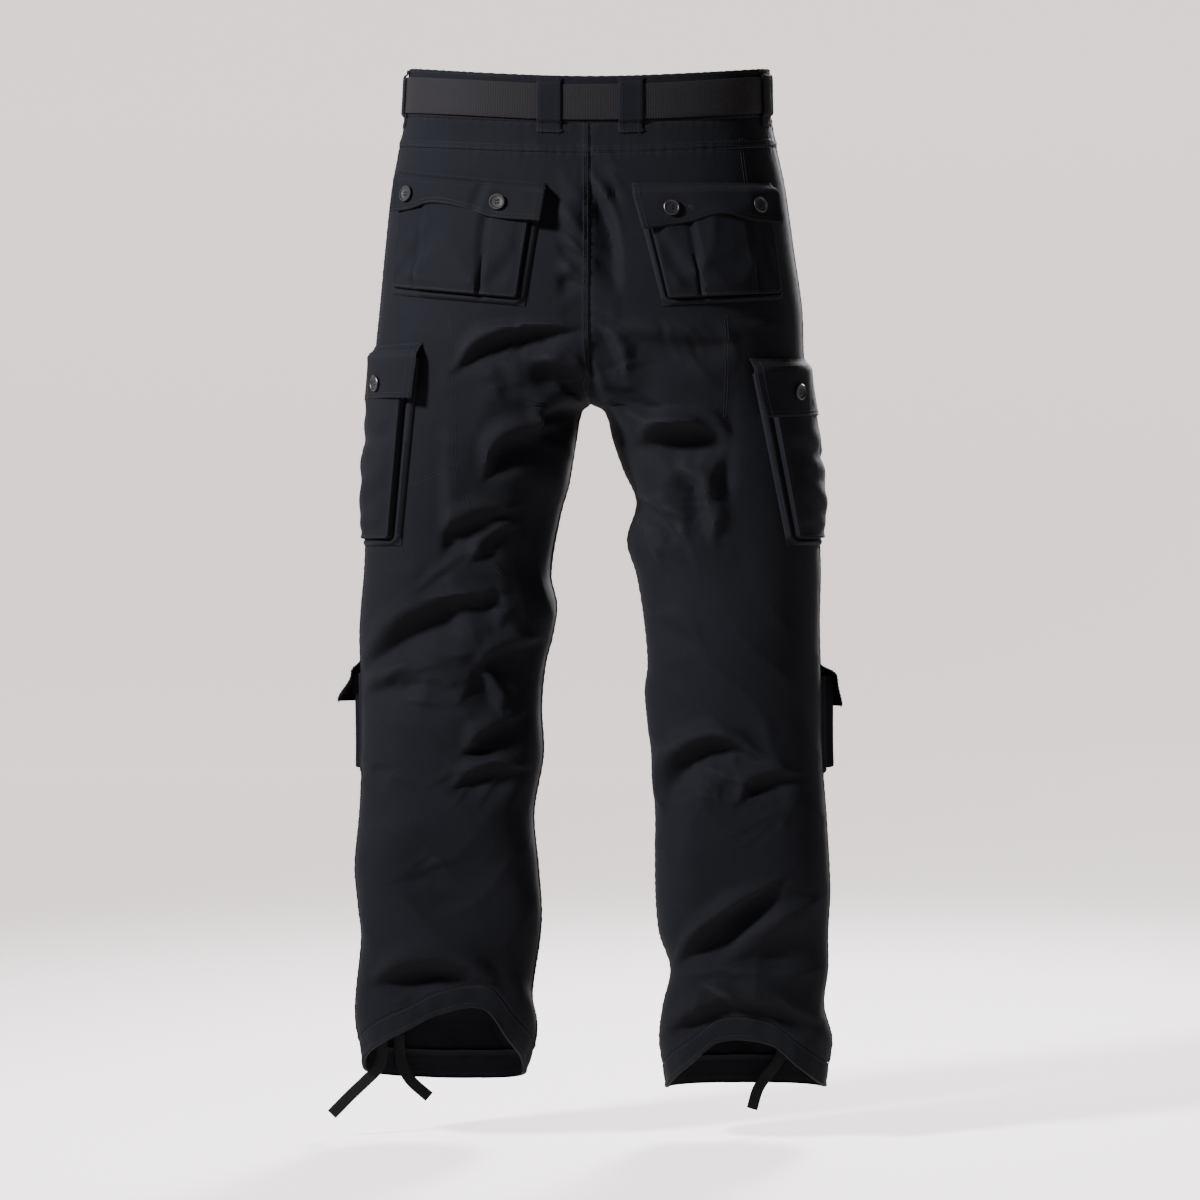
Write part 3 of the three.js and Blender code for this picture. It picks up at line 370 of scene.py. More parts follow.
def fold_relief(face, x, down):
    """Height of all the folds of a face. A trough is steep above its line and soft below it."""
    relief = np.zeros(x.shape)
    for path, heading, widths, depths, lean in FOLD_LINES[face]:
        pad = 4.2 * widths.max()
        (x0, d0), (x1, d1) = path.min(axis=0) - pad, path.max(axis=0) + pad
        close = (x > x0) & (x < x1) & (down > d0) & (down < d1)
        if not close.any():
            continue
        dx = x[close][:, None] - path[:, 0]
        dd = down[close][:, None] - path[:, 1]
        near = np.argmin(dx * dx + dd * dd, axis=1)
        rows = np.arange(len(near))
        dx, dd = dx[rows, near], dd[rows, near]
        tx, td = heading[near, 0], heading[near, 1]
        off = (dx * td - dd * tx) * np.where(tx < 0, -1, 1)
        past = np.where((near == 0) | (near == len(path) - 1), dx * tx + dd * td, 0)
        width = widths[near]
        t = off / width
        above = t > 0
        hollow, place, spread, height = (
            np.where(above, up, low) for up, low in zip(UPPER_SIDE, LOWER_SIDE))
        size = np.abs(t)
        lip = np.exp(-((size - place) / spread) ** 2) * (height + np.where(above, lean, 0))
        fade = np.exp(-(past / (1.5 * width)) ** 2)
        relief[close] += depths[near] * fade * (np.exp(-(size / hollow) ** 2) - lip)
    for kind, cx, cd, rx, rd, depth in HOLLOWS:
        if kind == face:
            relief += depth * np.exp(-((x - cx) / rx) ** 2 - ((down - cd) / rd) ** 2)
    share = np.ones(x.shape)
    for kind, low, high, far in POCKET_GROUND:
        if kind != face:
            continue
        inside = (smooth_step(low - GROUND_EDGE, low, down)
                  * (1 - smooth_step(high, high + GROUND_EDGE, down)))
        share *= 1 - inside * smooth_step(far - GROUND_EDGE, far, np.abs(x))
    slack = 1.2 * np.sin(down / 37 + x / 53) * np.sin(x / 41 - down / 90)
    return (relief + slack + crumple(x, down)) * share


def cloth_point(side, turn, down, folds=1.0):
    """Points of the cloth's outer face, before anything is laid on it, in millimetres."""
    turn, down = np.broadcast_arrays(np.asarray(turn, float), np.asarray(down, float))
    shape = oval(side, down)
    _, inwards, outwards, middle, depth = shape
    sign = SIGN[side]
    s, c = np.sin(turn), np.cos(turn)
    full = 1 + CORNER_FULLNESS * np.sin(2 * turn) ** 2
    x = across(shape, turn)
    y = middle + depth * s * full
    dip = np.where(s > 0, BACK_DIP, FRONT_DIP) * s * s * (1 - smooth_step(0, DIP_ENDS_AT, down))
    degrees = np.degrees(turn) % 360
    lift = read(HEM_LIFT[side], 1, degrees)
    height = down + dip - lift * smooth_step(HEM_LIFT_STARTS_AT, HEM_DOWN[side], down)
    if folds:
        fade = np.minimum(1, 1.6 * np.abs(s))
        calm = smooth_step(WAISTBAND_DEPTH, YOKE_SEAM + 12, down)
        calm = calm * (1 - 0.75 * smooth_step(HEM_DOWN[side] - 46, HEM_DOWN[side] - 18, down))
        relief = np.where(
            s > 0, fold_relief("back", sign * x, height), fold_relief("front", sign * x, height))
        relief = relief * fade * calm * folds
        nx = -c * depth
        ny = s * np.where(c > 0, inwards, outwards)
        n = np.hypot(nx, ny)
        x = x + nx / n * relief
        y = y + ny / n * relief
    return np.stack([sign * x, y, -height], axis=-1)


def cloth_normal(side, turn, down, folds=1.0):
    a, b = 0.012, 1.2
    round_way = cloth_point(side, turn + a, down, folds) - cloth_point(side, turn - a, down, folds)
    down_way = cloth_point(side, turn, down + b, folds) - cloth_point(side, turn, down - b, folds)
    normal = np.cross(round_way, down_way)
    normal /= np.linalg.norm(normal, axis=-1, keepdims=True)
    return normal * SIGN[side]


def raised(side, turn, down, lift, folds=1.0):
    """Points raised off the cloth. They never cross the centre plane between the two halves."""
    turn, down = np.broadcast_arrays(np.asarray(turn, float), np.asarray(down, float))
    lift = np.broadcast_to(np.asarray(lift, float), turn.shape)
    point = cloth_point(side, turn, down, folds)
    point = point + cloth_normal(side, turn, down, folds) * lift[..., None]
    if side == "left":
        point[..., 0] = np.maximum(point[..., 0], SEAM_GAP / 2)
    else:
        point[..., 0] = np.minimum(point[..., 0], -SEAM_GAP / 2)
    return point


def new_object(name, vertices, faces, uvs=None, smooth=True, sharp=40):
    """A mesh object at the origin from points in millimetres, with its cloth map in metres."""
    mesh = bpy.data.meshes.new(name)
    mesh.from_pydata((np.asarray(vertices) * MM).tolist(), [], faces)
    if uvs is not None:
        layer = mesh.uv_layers.new(name="cloth")
        corners = np.empty(len(mesh.loops), dtype=np.int32)
        mesh.loops.foreach_get("vertex_index", corners)
        layer.data.foreach_set("uv", (np.asarray(uvs)[corners] * MM).astype(np.float32).ravel())
    obj = bpy.data.objects.new(name, mesh)
    bpy.context.scene.collection.objects.link(obj)
    mesh.update()
    if volume_of(vertices, faces) < 0:
        mesh.flip_normals()
    if smooth:
        mesh.shade_smooth()
        mesh.set_sharp_from_angle(angle=math.radians(sharp))
    return obj


def volume_of(vertices, faces):
    v = np.asarray(vertices, dtype=float)
    total = 0.0
    quads = np.array([f for f in faces if len(f) == 4])
    tris = np.array([f for f in faces if len(f) == 3])
    parts = [quads[:, [0, 1, 2]], quads[:, [0, 2, 3]]] if len(quads) else []
    if len(tris):
        parts.append(tris)
    for p in parts:
        total += np.einsum("ij,ij->i", v[p[:, 0]], np.cross(v[p[:, 1]], v[p[:, 2]])).sum()
    return total


def wall(name, outer, inner, round_way=False, uvs=None, sharp=40):
    """A closed wall between two grids of points, rows by columns."""
    rows, columns = outer.shape[:2]
    index = np.arange(rows * columns).reshape(rows, columns)
    nxt = np.roll(index, -1, axis=1) if round_way else index[:, 1:]
    here = index if round_way else index[:, :-1]
    shift = rows * columns
    quads = []

    def strip(a, b, c, d):
        quads.append(np.stack([a.ravel(), b.ravel(), c.ravel(), d.ravel()], axis=1))

    strip(here[:-1], here[1:], nxt[1:], nxt[:-1])
    strip(nxt[:-1] + shift, nxt[1:] + shift, here[1:] + shift, here[:-1] + shift)
    strip(nxt[0], nxt[0] + shift, here[0] + shift, here[0])
    strip(here[-1], here[-1] + shift, nxt[-1] + shift, nxt[-1])
    if not round_way:
        strip(index[:-1, 0], index[:-1, 0] + shift, index[1:, 0] + shift, index[1:, 0])
        strip(index[1:, -1], index[1:, -1] + shift, index[:-1, -1] + shift, index[:-1, -1])
    points = np.concatenate([outer.reshape(-1, 3), inner.reshape(-1, 3)])
    if uvs is None:
        uvs = grid_map(outer)
    uvs = np.concatenate([uvs.reshape(-1, 2), uvs.reshape(-1, 2)])
    return new_object(name, points, np.concatenate(quads).tolist(), uvs, sharp=sharp)


def grid_map(grid):
    """Lengths along the middle row and the middle column, so that a weave isn't stretched."""
    rows, columns = grid.shape[:2]
    row = grid[rows // 2]
    column = grid[:, columns // 2]
    u = np.concatenate([[0], np.cumsum(np.linalg.norm(np.diff(row, axis=0), axis=1))])
    v = np.concatenate([[0], np.cumsum(np.linalg.norm(np.diff(column, axis=0), axis=1))])
    return np.stack(np.meshgrid(u, -v), axis=-1)


def declare_cloth(obj, replaced):
    """Attaches a cloth piece to its body and hides the imported parts it replaces."""
    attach(obj, BODY)
    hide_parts(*replaced)


def linear(hex_colour):
    """The linear colour of an sRGB hex string."""
    parts = [int(hex_colour[i:i + 2], 16) / 255 for i in (1, 3, 5)]
    parts = [p / 12.92 if p <= 0.04045 else ((p + 0.055) / 1.055) ** 2.4 for p in parts]
    return (*parts, 1.0)


def add_node(tree, kind, links=None, **values):
    """Adds one node, sets its properties and sockets, and links sockets by name."""
    node = tree.nodes.new(kind)
    for name, value in values.items():
        if hasattr(node, name):
            setattr(node, name, value)
        else:
            node.inputs[name.replace("_", " ")].default_value = value
    for name, source in (links or {}).items():
        tree.links.new(source, node.inputs[name])
    return node


def new_material(name, colour, roughness, metallic=0.0):
    material = bpy.data.materials.new(name)
    material.use_nodes = True
    shader = material.node_tree.nodes["Principled BSDF"]
    shader.inputs["Base Color"].default_value = linear(colour)
    shader.inputs["Roughness"].default_value = roughness
    shader.inputs["Metallic"].default_value = metallic
    return material, material.node_tree, shader


def mixed(tree, factor, first, second):
    """A colour between two hex colours, by a linked factor."""
    node = add_node(tree, "ShaderNodeMix", data_type="RGBA")
    tree.links.new(factor, node.inputs[0])
    colours = [socket for socket in node.inputs if socket.type == "RGBA"]
    colours[0].default_value = linear(first)
    colours[1].default_value = linear(second)
    return next(socket for socket in node.outputs if socket.type == "RGBA")


def ribs(tree, vector, angle, pitch):
    """Fine parallel ribs over a cloth map, at an angle in degrees and a pitch in metres."""
    turned = add_node(tree, "ShaderNodeMapping", {"Vector": vector})
    turned.inputs["Rotation"].default_value = (0, 0, math.radians(angle))
    wave = add_node(
        tree, "ShaderNodeTexWave", {"Vector": turned.outputs["Vector"]},
        wave_type="BANDS", bands_direction="X", wave_profile="SIN",
        Scale=math.pi / (10 * pitch), Distortion=0.6, Detail=1.0)
    return wave.outputs["Fac"]


def twill_material(name="Black cotton twill", colour="#090a0d", worn="#131417"):
    """Brushed black cotton twill, a little greyer where folds and edges have rubbed."""
    material, tree, shader = new_material(name, colour, 0.85)
    uv = add_node(tree, "ShaderNodeUVMap", uv_map="cloth").outputs["UV"]
    place = add_node(tree, "ShaderNodeTexCoord").outputs["Object"]
    # The real ribs are about 0.5 mm apart. They are drawn at 1.3 mm, so that they show.
    rib = ribs(tree, uv, 52, 0.0013)
    cloudy = add_node(tree, "ShaderNodeTexNoise", {"Vector": place}, Scale=9.0, Detail=4.0)
    lint = add_node(tree, "ShaderNodeTexNoise", {"Vector": place}, Scale=900.0, Detail=2.0)
    geometry = add_node(tree, "ShaderNodeNewGeometry")
    rubbed = add_node(
        tree, "ShaderNodeMapRange", {"Value": geometry.outputs["Pointiness"]},
        From_Min=0.51, From_Max=0.60, To_Min=0.0, To_Max=0.55)
    shade = add_node(
        tree, "ShaderNodeMapRange", {"Value": cloudy.outputs["Fac"]},
        From_Min=0.3, From_Max=0.7, To_Min=0.0, To_Max=0.22)
    speck = add_node(
        tree, "ShaderNodeMapRange", {"Value": lint.outputs["Fac"]},
        From_Min=0.55, From_Max=0.8, To_Min=0.0, To_Max=0.35)
    share = add_node(tree, "ShaderNodeMath", operation="ADD")
    tree.links.new(rubbed.outputs["Result"], share.inputs[0])
    tree.links.new(shade.outputs["Result"], share.inputs[1])
    total = add_node(tree, "ShaderNodeMath", operation="ADD", use_clamp=True)
    tree.links.new(share.outputs["Value"], total.inputs[0])
    tree.links.new(speck.outputs["Result"], total.inputs[1])
    tree.links.new(mixed(tree, total.outputs["Value"], colour, worn), shader.inputs["Base Color"])
    shader.inputs["Sheen Weight"].default_value = 0.008
    shader.inputs["Sheen Roughness"].default_value = 0.5
    shader.inputs["Sheen Tint"].default_value = linear("#aab2c4")
    shader.inputs["Specular IOR Level"].default_value = 0.03
    weave = add_node(tree, "ShaderNodeBump", {"Height": rib}, Strength=0.3, Distance=0.00022)
    crumple = add_node(tree, "ShaderNodeTexNoise", {"Vector": place}, Scale=48.0, Detail=3.0)
    soft = add_node(
        tree, "ShaderNodeBump",
        {"Height": crumple.outputs["Fac"], "Normal": weave.outputs["Normal"]},
        Strength=0.35, Distance=0.0022)
    tree.links.new(soft.outputs["Normal"], shader.inputs["Normal"])
    return material


def webbing_material():
    """Woven polyester webbing in a very dark, worn purplish grey, ribbed across its width."""
    material, tree, shader = new_material("Grey polyester webbing", "#161518", 0.8)
    uv = add_node(tree, "ShaderNodeUVMap", uv_map="cloth").outputs["UV"]
    rib = ribs(tree, uv, 0, 0.0026)
    row = ribs(tree, uv, 90, 0.0016)
    both = add_node(tree, "ShaderNodeMath", operation="MULTIPLY")
    tree.links.new(rib, both.inputs[0])
    tree.links.new(row, both.inputs[1])
    colour = mixed(tree, both.outputs["Value"], "#050406", "#0b090c")
    tree.links.new(colour, shader.inputs["Base Color"])
    shader.inputs["Sheen Weight"].default_value = 0.01
    shader.inputs["Specular IOR Level"].default_value = 0.12
    weave = add_node(
        tree, "ShaderNodeBump", {"Height": both.outputs["Value"]}, Strength=0.6, Distance=0.0005)
    tree.links.new(weave.outputs["Normal"], shader.inputs["Normal"])
    return material


def tape_material():
    """Flat woven cotton tape in black, a little shinier than the twill."""
    material, tree, shader = new_material("Black cotton tape", "#090a0b", 0.8)
    uv = add_node(tree, "ShaderNodeUVMap", uv_map="cloth").outputs["UV"]
    rib = ribs(tree, uv, 90, 0.0018)
    shader.inputs["Specular IOR Level"].default_value = 0.1
    weave = add_node(tree, "ShaderNodeBump", {"Height": rib}, Strength=0.5, Distance=0.0003)
    tree.links.new(weave.outputs["Normal"], shader.inputs["Normal"])
    return material


def button_material():
    """Moulded black polyester button, half matt."""
    material, tree, shader = new_material("Moulded black polyester", "#08080a", 0.35)
    place = add_node(tree, "ShaderNodeTexCoord").outputs["Object"]
    cloudy = add_node(tree, "ShaderNodeTexNoise", {"Vector": place}, Scale=300.0, Detail=2.0)
    dull = add_node(
        tree, "ShaderNodeMapRange", {"Value": cloudy.outputs["Fac"]}, To_Min=0.3, To_Max=0.46)
    tree.links.new(dull.outputs["Result"], shader.inputs["Roughness"])
    shader.inputs["Specular IOR Level"].default_value = 0.3
    return material


def metal_material():
    """Steel plated dark and brushed, scuffed brighter in places."""
    material, tree, shader = new_material("Dark plated steel", "#2f3033", 0.34, 1.0)
    place = add_node(tree, "ShaderNodeTexCoord").outputs["Object"]
    scuffs = add_node(tree, "ShaderNodeTexNoise", {"Vector": place}, Scale=160.0, Detail=5.0)
    dull = add_node(
        tree, "ShaderNodeMapRange", {"Value": scuffs.outputs["Fac"]}, To_Min=0.22, To_Max=0.48)
    tree.links.new(dull.outputs["Result"], shader.inputs["Roughness"])
    return material


def thread_material():
    """Spun polyester sewing thread, slightly lighter than the cloth."""
    material, tree, shader = new_material("Black sewing thread", "#111216", 0.7)
    place = add_node(tree, "ShaderNodeTexCoord").outputs["Object"]
    twist = add_node(tree, "ShaderNodeTexNoise", {"Vector": place}, Scale=1500.0, Detail=1.0)
    shader.inputs["Specular IOR Level"].default_value = 0.08
    ply = add_node(
        tree, "ShaderNodeBump", {"Height": twist.outputs["Fac"]}, Strength=0.3, Distance=0.0002)
    tree.links.new(ply.outputs["Normal"], shader.inputs["Normal"])
    return material


def floor_material():
    """Opal white panel, lit evenly from behind as well."""
    material, _, shader = new_material("Opal white panel", "#d8d2d0", 0.95)
    shader.inputs["Emission Color"].default_value = linear("#f5eae8")
    shader.inputs["Emission Strength"].default_value = 1.2
    return material


MAKERS = {
    "twill": twill_material,
    "webbing": webbing_material,
    "tape": tape_material,
    "button": button_material,
    "metal": metal_material,
    "thread": thread_material,
    "floor": floor_material,
}
MATERIALS = {}


def material_of(kind):
    """The material of a kind, made once."""
    if kind not in MATERIALS:
        MATERIALS[kind] = MAKERS[kind]()
    return MATERIALS[kind]


def dress(obj, kind):
    obj.data.materials.clear()
    obj.data.materials.append(material_of(kind))


def stand_for(obj, slot, node):
    """Dresses a piece, attaches it to its body and hides the node it stands for."""
    dress(obj, slot)
    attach(obj, BODY)
    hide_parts(node)


STITCH_LINES = {"body": [], "pocket": [], "waist": []}
SEAM_STEPS = (0.0, 1.0, 2.2, 6.4, 7.6, 9.0)
CROTCH_ROWS = [
    (318, 318), (334, 330), (344, 341), (349.5, 352), (CROTCH, 363), (358, 374), (370, 386)]


def seam_marks(length, cell):
    """Places along a length, closer together where the steps of its two end seams lie."""
    near = np.array(SEAM_STEPS)
    count = max(3, round((length - 2 * near[-1]) / cell) + 1)
    inside = np.linspace(near[-1], length - near[-1], count)
    return np.concatenate([near[:-1], inside, length - near[-2::-1]])


def panel_rows(coarse, cell):
    """Heights of a panel's rows at its centre edge and at the side seam."""
    centre, seam = np.array(coarse, dtype=float).T
    steps = np.hypot(np.diff(centre), np.diff(seam)) / math.sqrt(2)
    run = np.concatenate([[0], np.cumsum(steps)])
    marks = seam_marks(run[-1], cell)
    return np.interp(marks, run, centre), np.interp(marks, run, seam)


def panel_places(side, face, centre, seam, columns):
    """Turns and heights of a panel's points, and their lengths from its two long edges."""
    start = np.where(centre < CROTCH, turn_at(side, centre, SEAM_GAP / 2), 0)
    share = np.linspace(0, 1, 181)
    turns = start[:, None] + (math.pi - start)[:, None] * share
    downs = centre[:, None] + (seam - centre)[:, None] * smooth_step(0, 1, share)
    if face == "front":
        turns = 2 * math.pi - turns
    points = cloth_point(side, turns, downs, folds=0)
    run = np.cumsum(np.linalg.norm(np.diff(points, axis=1), axis=-1), axis=1)
    run = np.concatenate([np.zeros((len(run), 1)), run], axis=1)
    near = np.array(SEAM_STEPS)
    total = run[:, -1:]
    ends = np.ones_like(total)
    inside = near[-1] + (total - 2 * near[-1]) * np.linspace(0, 1, columns)
    marks = np.concatenate([ends * near[:-1], inside, total - near[-2::-1]], axis=1)
    turn = np.array([np.interp(m, r, t) for m, r, t in zip(marks, run, turns)])
    down = np.array([np.interp(m, r, d) for m, r, d in zip(marks, run, downs)])
    return turn, down, marks, total - marks


def grid_normals(points, flip):
    round_way = np.gradient(points, axis=1)
    down_way = np.gradient(points, axis=0)
    normal = np.cross(round_way, down_way) * flip
    return normal / np.maximum(np.linalg.norm(normal, axis=-1, keepdims=True), 1e-9)


def seam_relief(distance, along, lap):
    """Height of a felled seam: a pinch at its line, a doubled strip if it laps, and puckers."""
    pinch = -0.8 * np.exp(-(distance / 1.1) ** 2)
    strip = lap * (1 - smooth_step(6.6, 8.0, distance))
    wave = np.sin(along * 0.71 + 1.7 * np.sin(along * 0.13)) * np.exp(-(distance / 8) ** 2)
    return pinch + strip + 0.32 * wave


def clamp_half(points, side):
    """Keeps a panel on its own half. Its edge passes the centre plane a little, to close the seam."""
    if side == "left":
        points[..., 0] = np.maximum(points[..., 0], -PANEL_LAP)
    else:
        points[..., 0] = np.minimum(points[..., 0], PANEL_LAP)
    return points


def note_stitches(group, points, normals):
    STITCH_LINES[group].append((np.array(points), np.array(normals)))


def cloth_panel(name, side, face, coarse, settings, laps):
    """One panel as a thin closed shell, with its folds and its seams.

    laps are the strips at its centre, its side seam, its top and its foot, in millimetres."""
    centre, seam = panel_rows(coarse, settings.cell / MM)
    turn, down, inward, outward = panel_places(side, face, centre, seam, settings.columns)
    run_down = centre[:, None] - centre[0] + np.zeros_like(down)
    run_up = centre[-1] - centre[:, None] + np.zeros_like(down)
    points = cloth_point(side, turn, down, settings.folds)
    flip = SIGN[side] * (1 if face == "back" else -1)
    normals = grid_normals(points, flip)
    relief = seam_relief(inward, down, laps[0]) + seam_relief(outward, down, laps[1])
    relief += seam_relief(run_down, inward, laps[2]) + seam_relief(run_up, inward, laps[3])
    outer = clamp_half(points + normals * relief[..., None], side)
    normals = grid_normals(outer, flip)
    inner = clamp_half(outer - normals * settings.cloth / MM, side)
    above_crotch = centre < CROTCH
    for grid in (outer, inner):
        grid[above_crotch, 0, 0] = -SIGN[side] * PANEL_LAP
    uvs = np.stack([outward, -down], axis=-1)
    obj = wall(name, outer, inner, uvs=uvs)
    dress(obj, "twill")
    for edge, lap in enumerate(laps[:2]):
        if lap:
            for k in (2, 3):
                column = k if edge == 0 else -1 - k
                note_stitches("body", outer[:, column], normals[:, column])
    for edge, lap in enumerate(laps[2:]):
        if lap:
            for k in (2, 3):
                row = k if edge == 0 else -1 - k
                note_stitches("body", outer[row], normals[row])
    plain = cloth_point(side, turn, down, folds=0)
    declare_cloth(obj, [name])
    return obj


def ring_columns(down, per_half):
    """Sides and turns of the columns of a band, from the centre front by the left side."""
    start = float(turn_at("left", down, SEAM_GAP / 2))
    sweep = np.linspace(2 * math.pi - start, start, per_half)
    return [("left", sweep), ("right", sweep[::-1])]


def ring_grid(downs, lifts, per_half, folds=0.0, stand_off=None):
    """Points of a band round the waist. A row can be lifted, and a belt stands off as well."""
    halves = []
    for side, _ in ring_columns(downs[0], per_half):
        columns = []
        for down in downs:
            sweep = dict(ring_columns(down, per_half))[side]
            columns.append(sweep)
        turn = np.array(columns)
        down = np.array(downs)[:, None] + np.zeros_like(turn)
        lift = np.array(lifts)[:, None] + np.zeros_like(turn)
        if stand_off:
            lift = lift + stand_off(cloth_point(side, turn, down, folds))
        halves.append(raised(side, turn, down, lift, folds))
    return np.concatenate([halves[0], halves[1][:, 1:]], axis=1)


BELT = {"top": 9.0, "width": 38.0, "thickness": 2.6, "clearance": 0.6}
FRONT_STAND_OFF = 2.8


def belt_lift(points):
    near = 1 - smooth_step(26, 70, np.abs(points[..., 0]))
    return BELT["clearance"] + np.where(points[..., 1] < 0, FRONT_STAND_OFF * near, 0)


def band_profile(depth, thickness, edge):
    """Rows of a band and how far each is lowered, so that its long edges are rounded."""
    downs = [0, 0.25 * edge, edge, depth / 4, depth / 2, 3 * depth / 4, depth - edge,
             depth - 0.25 * edge, depth]
    lifts = [-0.5 * thickness, -0.12 * thickness, 0, 0, 0, 0, 0, -0.12 * thickness, -0.5 * thickness]
    return np.array(downs), np.array(lifts)


def build_waistband():
    """Doubled band, open at the centre front, with the cloth a little slack between its seams."""
    depth = WAISTBAND_DEPTH
    downs = np.array([0, 0.5, 1.5, 3, 6, 12, 20, 28, 36, 42, 46, 48, 49.2, depth])
    lifts = np.array([-1.4, -0.5, 0, -0.3, 0, 0.1, 0.2, 0.2, 0.1, 0, -0.3, 0, -0.4, -1.2])
    plain = ring_grid(downs, np.zeros(len(downs)), 60)
    grid = ring_grid(downs, lifts, 150)
    run = np.cumsum(np.linalg.norm(np.diff(grid[6], axis=0), axis=-1))
    run = np.concatenate([[0], run])
    pucker = 0.3 * np.sin(run * 0.62 + 2 * np.sin(run * 0.07))[None, :]
    near_edge = np.exp(-(np.minimum(downs, depth - downs)[:, None] / 7) ** 2)
    normals = grid_normals(grid, -1)
    outer = grid + normals * (pucker * near_edge)[..., None]
    inner = outer - normals * 2.2
    obj = wall("waistband", outer, inner)
    dress(obj, "twill")
    for row in (3, 10):
        note_stitches("waist", outer[row], normals[row])
    declare_cloth(obj, ["waistband"])
    return obj


def build_belt():
    """Webbing belt round the waistband, with rounded edges and a slight sag between its loops."""
    downs, lifts = band_profile(BELT["width"], BELT["thickness"], 1.2)
    downs = downs + BELT["top"]
    base = BELT["thickness"]
    plain = ring_grid(downs, np.full(len(downs), base), 60, stand_off=belt_lift)
    outer = ring_grid(downs, lifts + base, 130, stand_off=belt_lift)[:, :-1]
    inner = ring_grid(downs, -lifts * 0.6, 130, stand_off=belt_lift)[:, :-1]
    sag = 0.35 * np.sin(outer[..., 0] / 31 + 0.6) * np.sin(outer[..., 0] / 83)
    outer[..., 2] -= sag
    inner[..., 2] -= sag
    uvs = grid_map(outer)
    obj = wall("belt", outer, inner, round_way=True, uvs=uvs)
    dress(obj, "webbing")
    declare_cloth(obj, ["belt"])
    return obj


BELT_END = {"from": 26.0, "to": 92.0, "tip": 11.0, "tip thickness": 3.4}


def belt_layer(name, low, high, inset, thickness, count, edge):
    downs, lifts = band_profile(BELT["width"] - 2 * inset, thickness, edge)
    downs = downs + BELT["top"] + inset
    places = np.linspace(low, high, count)
    down = downs[:, None] + np.zeros(count)
    turn = 2 * math.pi - turn_at("left", down, places[None, :] + np.zeros_like(down))
    base = BELT["thickness"] + 0.4 + belt_lift(cloth_point("left", turn, down, 0))
    outer = raised("left", turn, down, base + thickness + lifts[:, None], 0)
    inner = raised("left", turn, down, base - 0.5 * lifts[:, None], 0)
    return wall(name, outer, inner), outer


def build_belt_end():
    """Free end of the belt over it, with a folded metal tip."""
    low, high = BELT_END["from"], BELT_END["to"]
    end, grid = belt_layer("belt_end", low, high, 0.4, BELT["thickness"], 34, 1.2)
    dress(end, "webbing")
    declare_cloth(end, ["belt_end"])
    start = high + SEAM_GAP
    tip, _ = belt_layer(
        "belt_tip", start, start + BELT_END["tip"], 0, BELT_END["tip thickness"], 10, 0.8)
    bevel(tip, 0.4)
    stand_for(tip, "metal", "belt_tip")


def bevel(obj, width, segments=2):
    """Rounds the hard edges of a mesh, by a width in millimetres, and keeps the result."""
    modifier = obj.modifiers.new("edges", "BEVEL")
    modifier.width = width * MM
    modifier.segments = segments
    modifier.limit_method = "ANGLE"
    modifier.angle_limit = math.radians(40)
    modifier.harden_normals = True
    bake(obj)


def bake(obj):
    """Turns an object's modifiers into its plain mesh."""
    shown = obj.evaluated_get(bpy.context.evaluated_depsgraph_get())
    mesh = bpy.data.meshes.new_from_object(shown)
    obj.modifiers.clear()
    obj.data = mesh


BUCKLE = {"width": 46.0, "wall": 2.0, "clearance": 0.8, "flange": 3.4, "stand off": 1.3}


def build_buckle():
    """Plain plate folded round the belt's edges."""
    half = BELT["width"] / 2 + BUCKLE["clearance"]
    middle = BELT["top"] + BELT["width"] / 2
    turn = 2 * math.pi - turn_at("left", middle, 0.2)
    base = belt_lift(cloth_point("left", turn, middle, 0)) + BELT["thickness"]
    seat = raised("left", turn, middle, base, 0)
    t, reach = BUCKLE["wall"], BUCKLE["wall"] + BUCKLE["flange"]
    outline = [
        (0, -half - t), (reach, -half - t), (reach, -half), (t, -half),
        (t, half), (reach, half), (reach, half + t), (0, half + t)]
    y0 = seat[1] - t - BUCKLE["stand off"]
    z0 = seat[2]
    points = []
    for x in (-BUCKLE["width"] / 2, BUCKLE["width"] / 2):
        points += [(x, y0 + depth, z0 + height) for depth, height in outline]
    n = len(outline)
    faces = [(i, (i + 1) % n, n + (i + 1) % n, n + i) for i in range(n)]
    caps = [(0, 1, 2, 3), (0, 3, 4, 7), (4, 5, 6, 7)]
    faces += caps + [tuple(n + i for i in reversed(cap)) for cap in caps]
    buckle = new_object("belt_buckle", points, faces, sharp=30)
    bevel(buckle, 0.7, 3)
    stand_for(buckle, "metal", "belt_buckle")


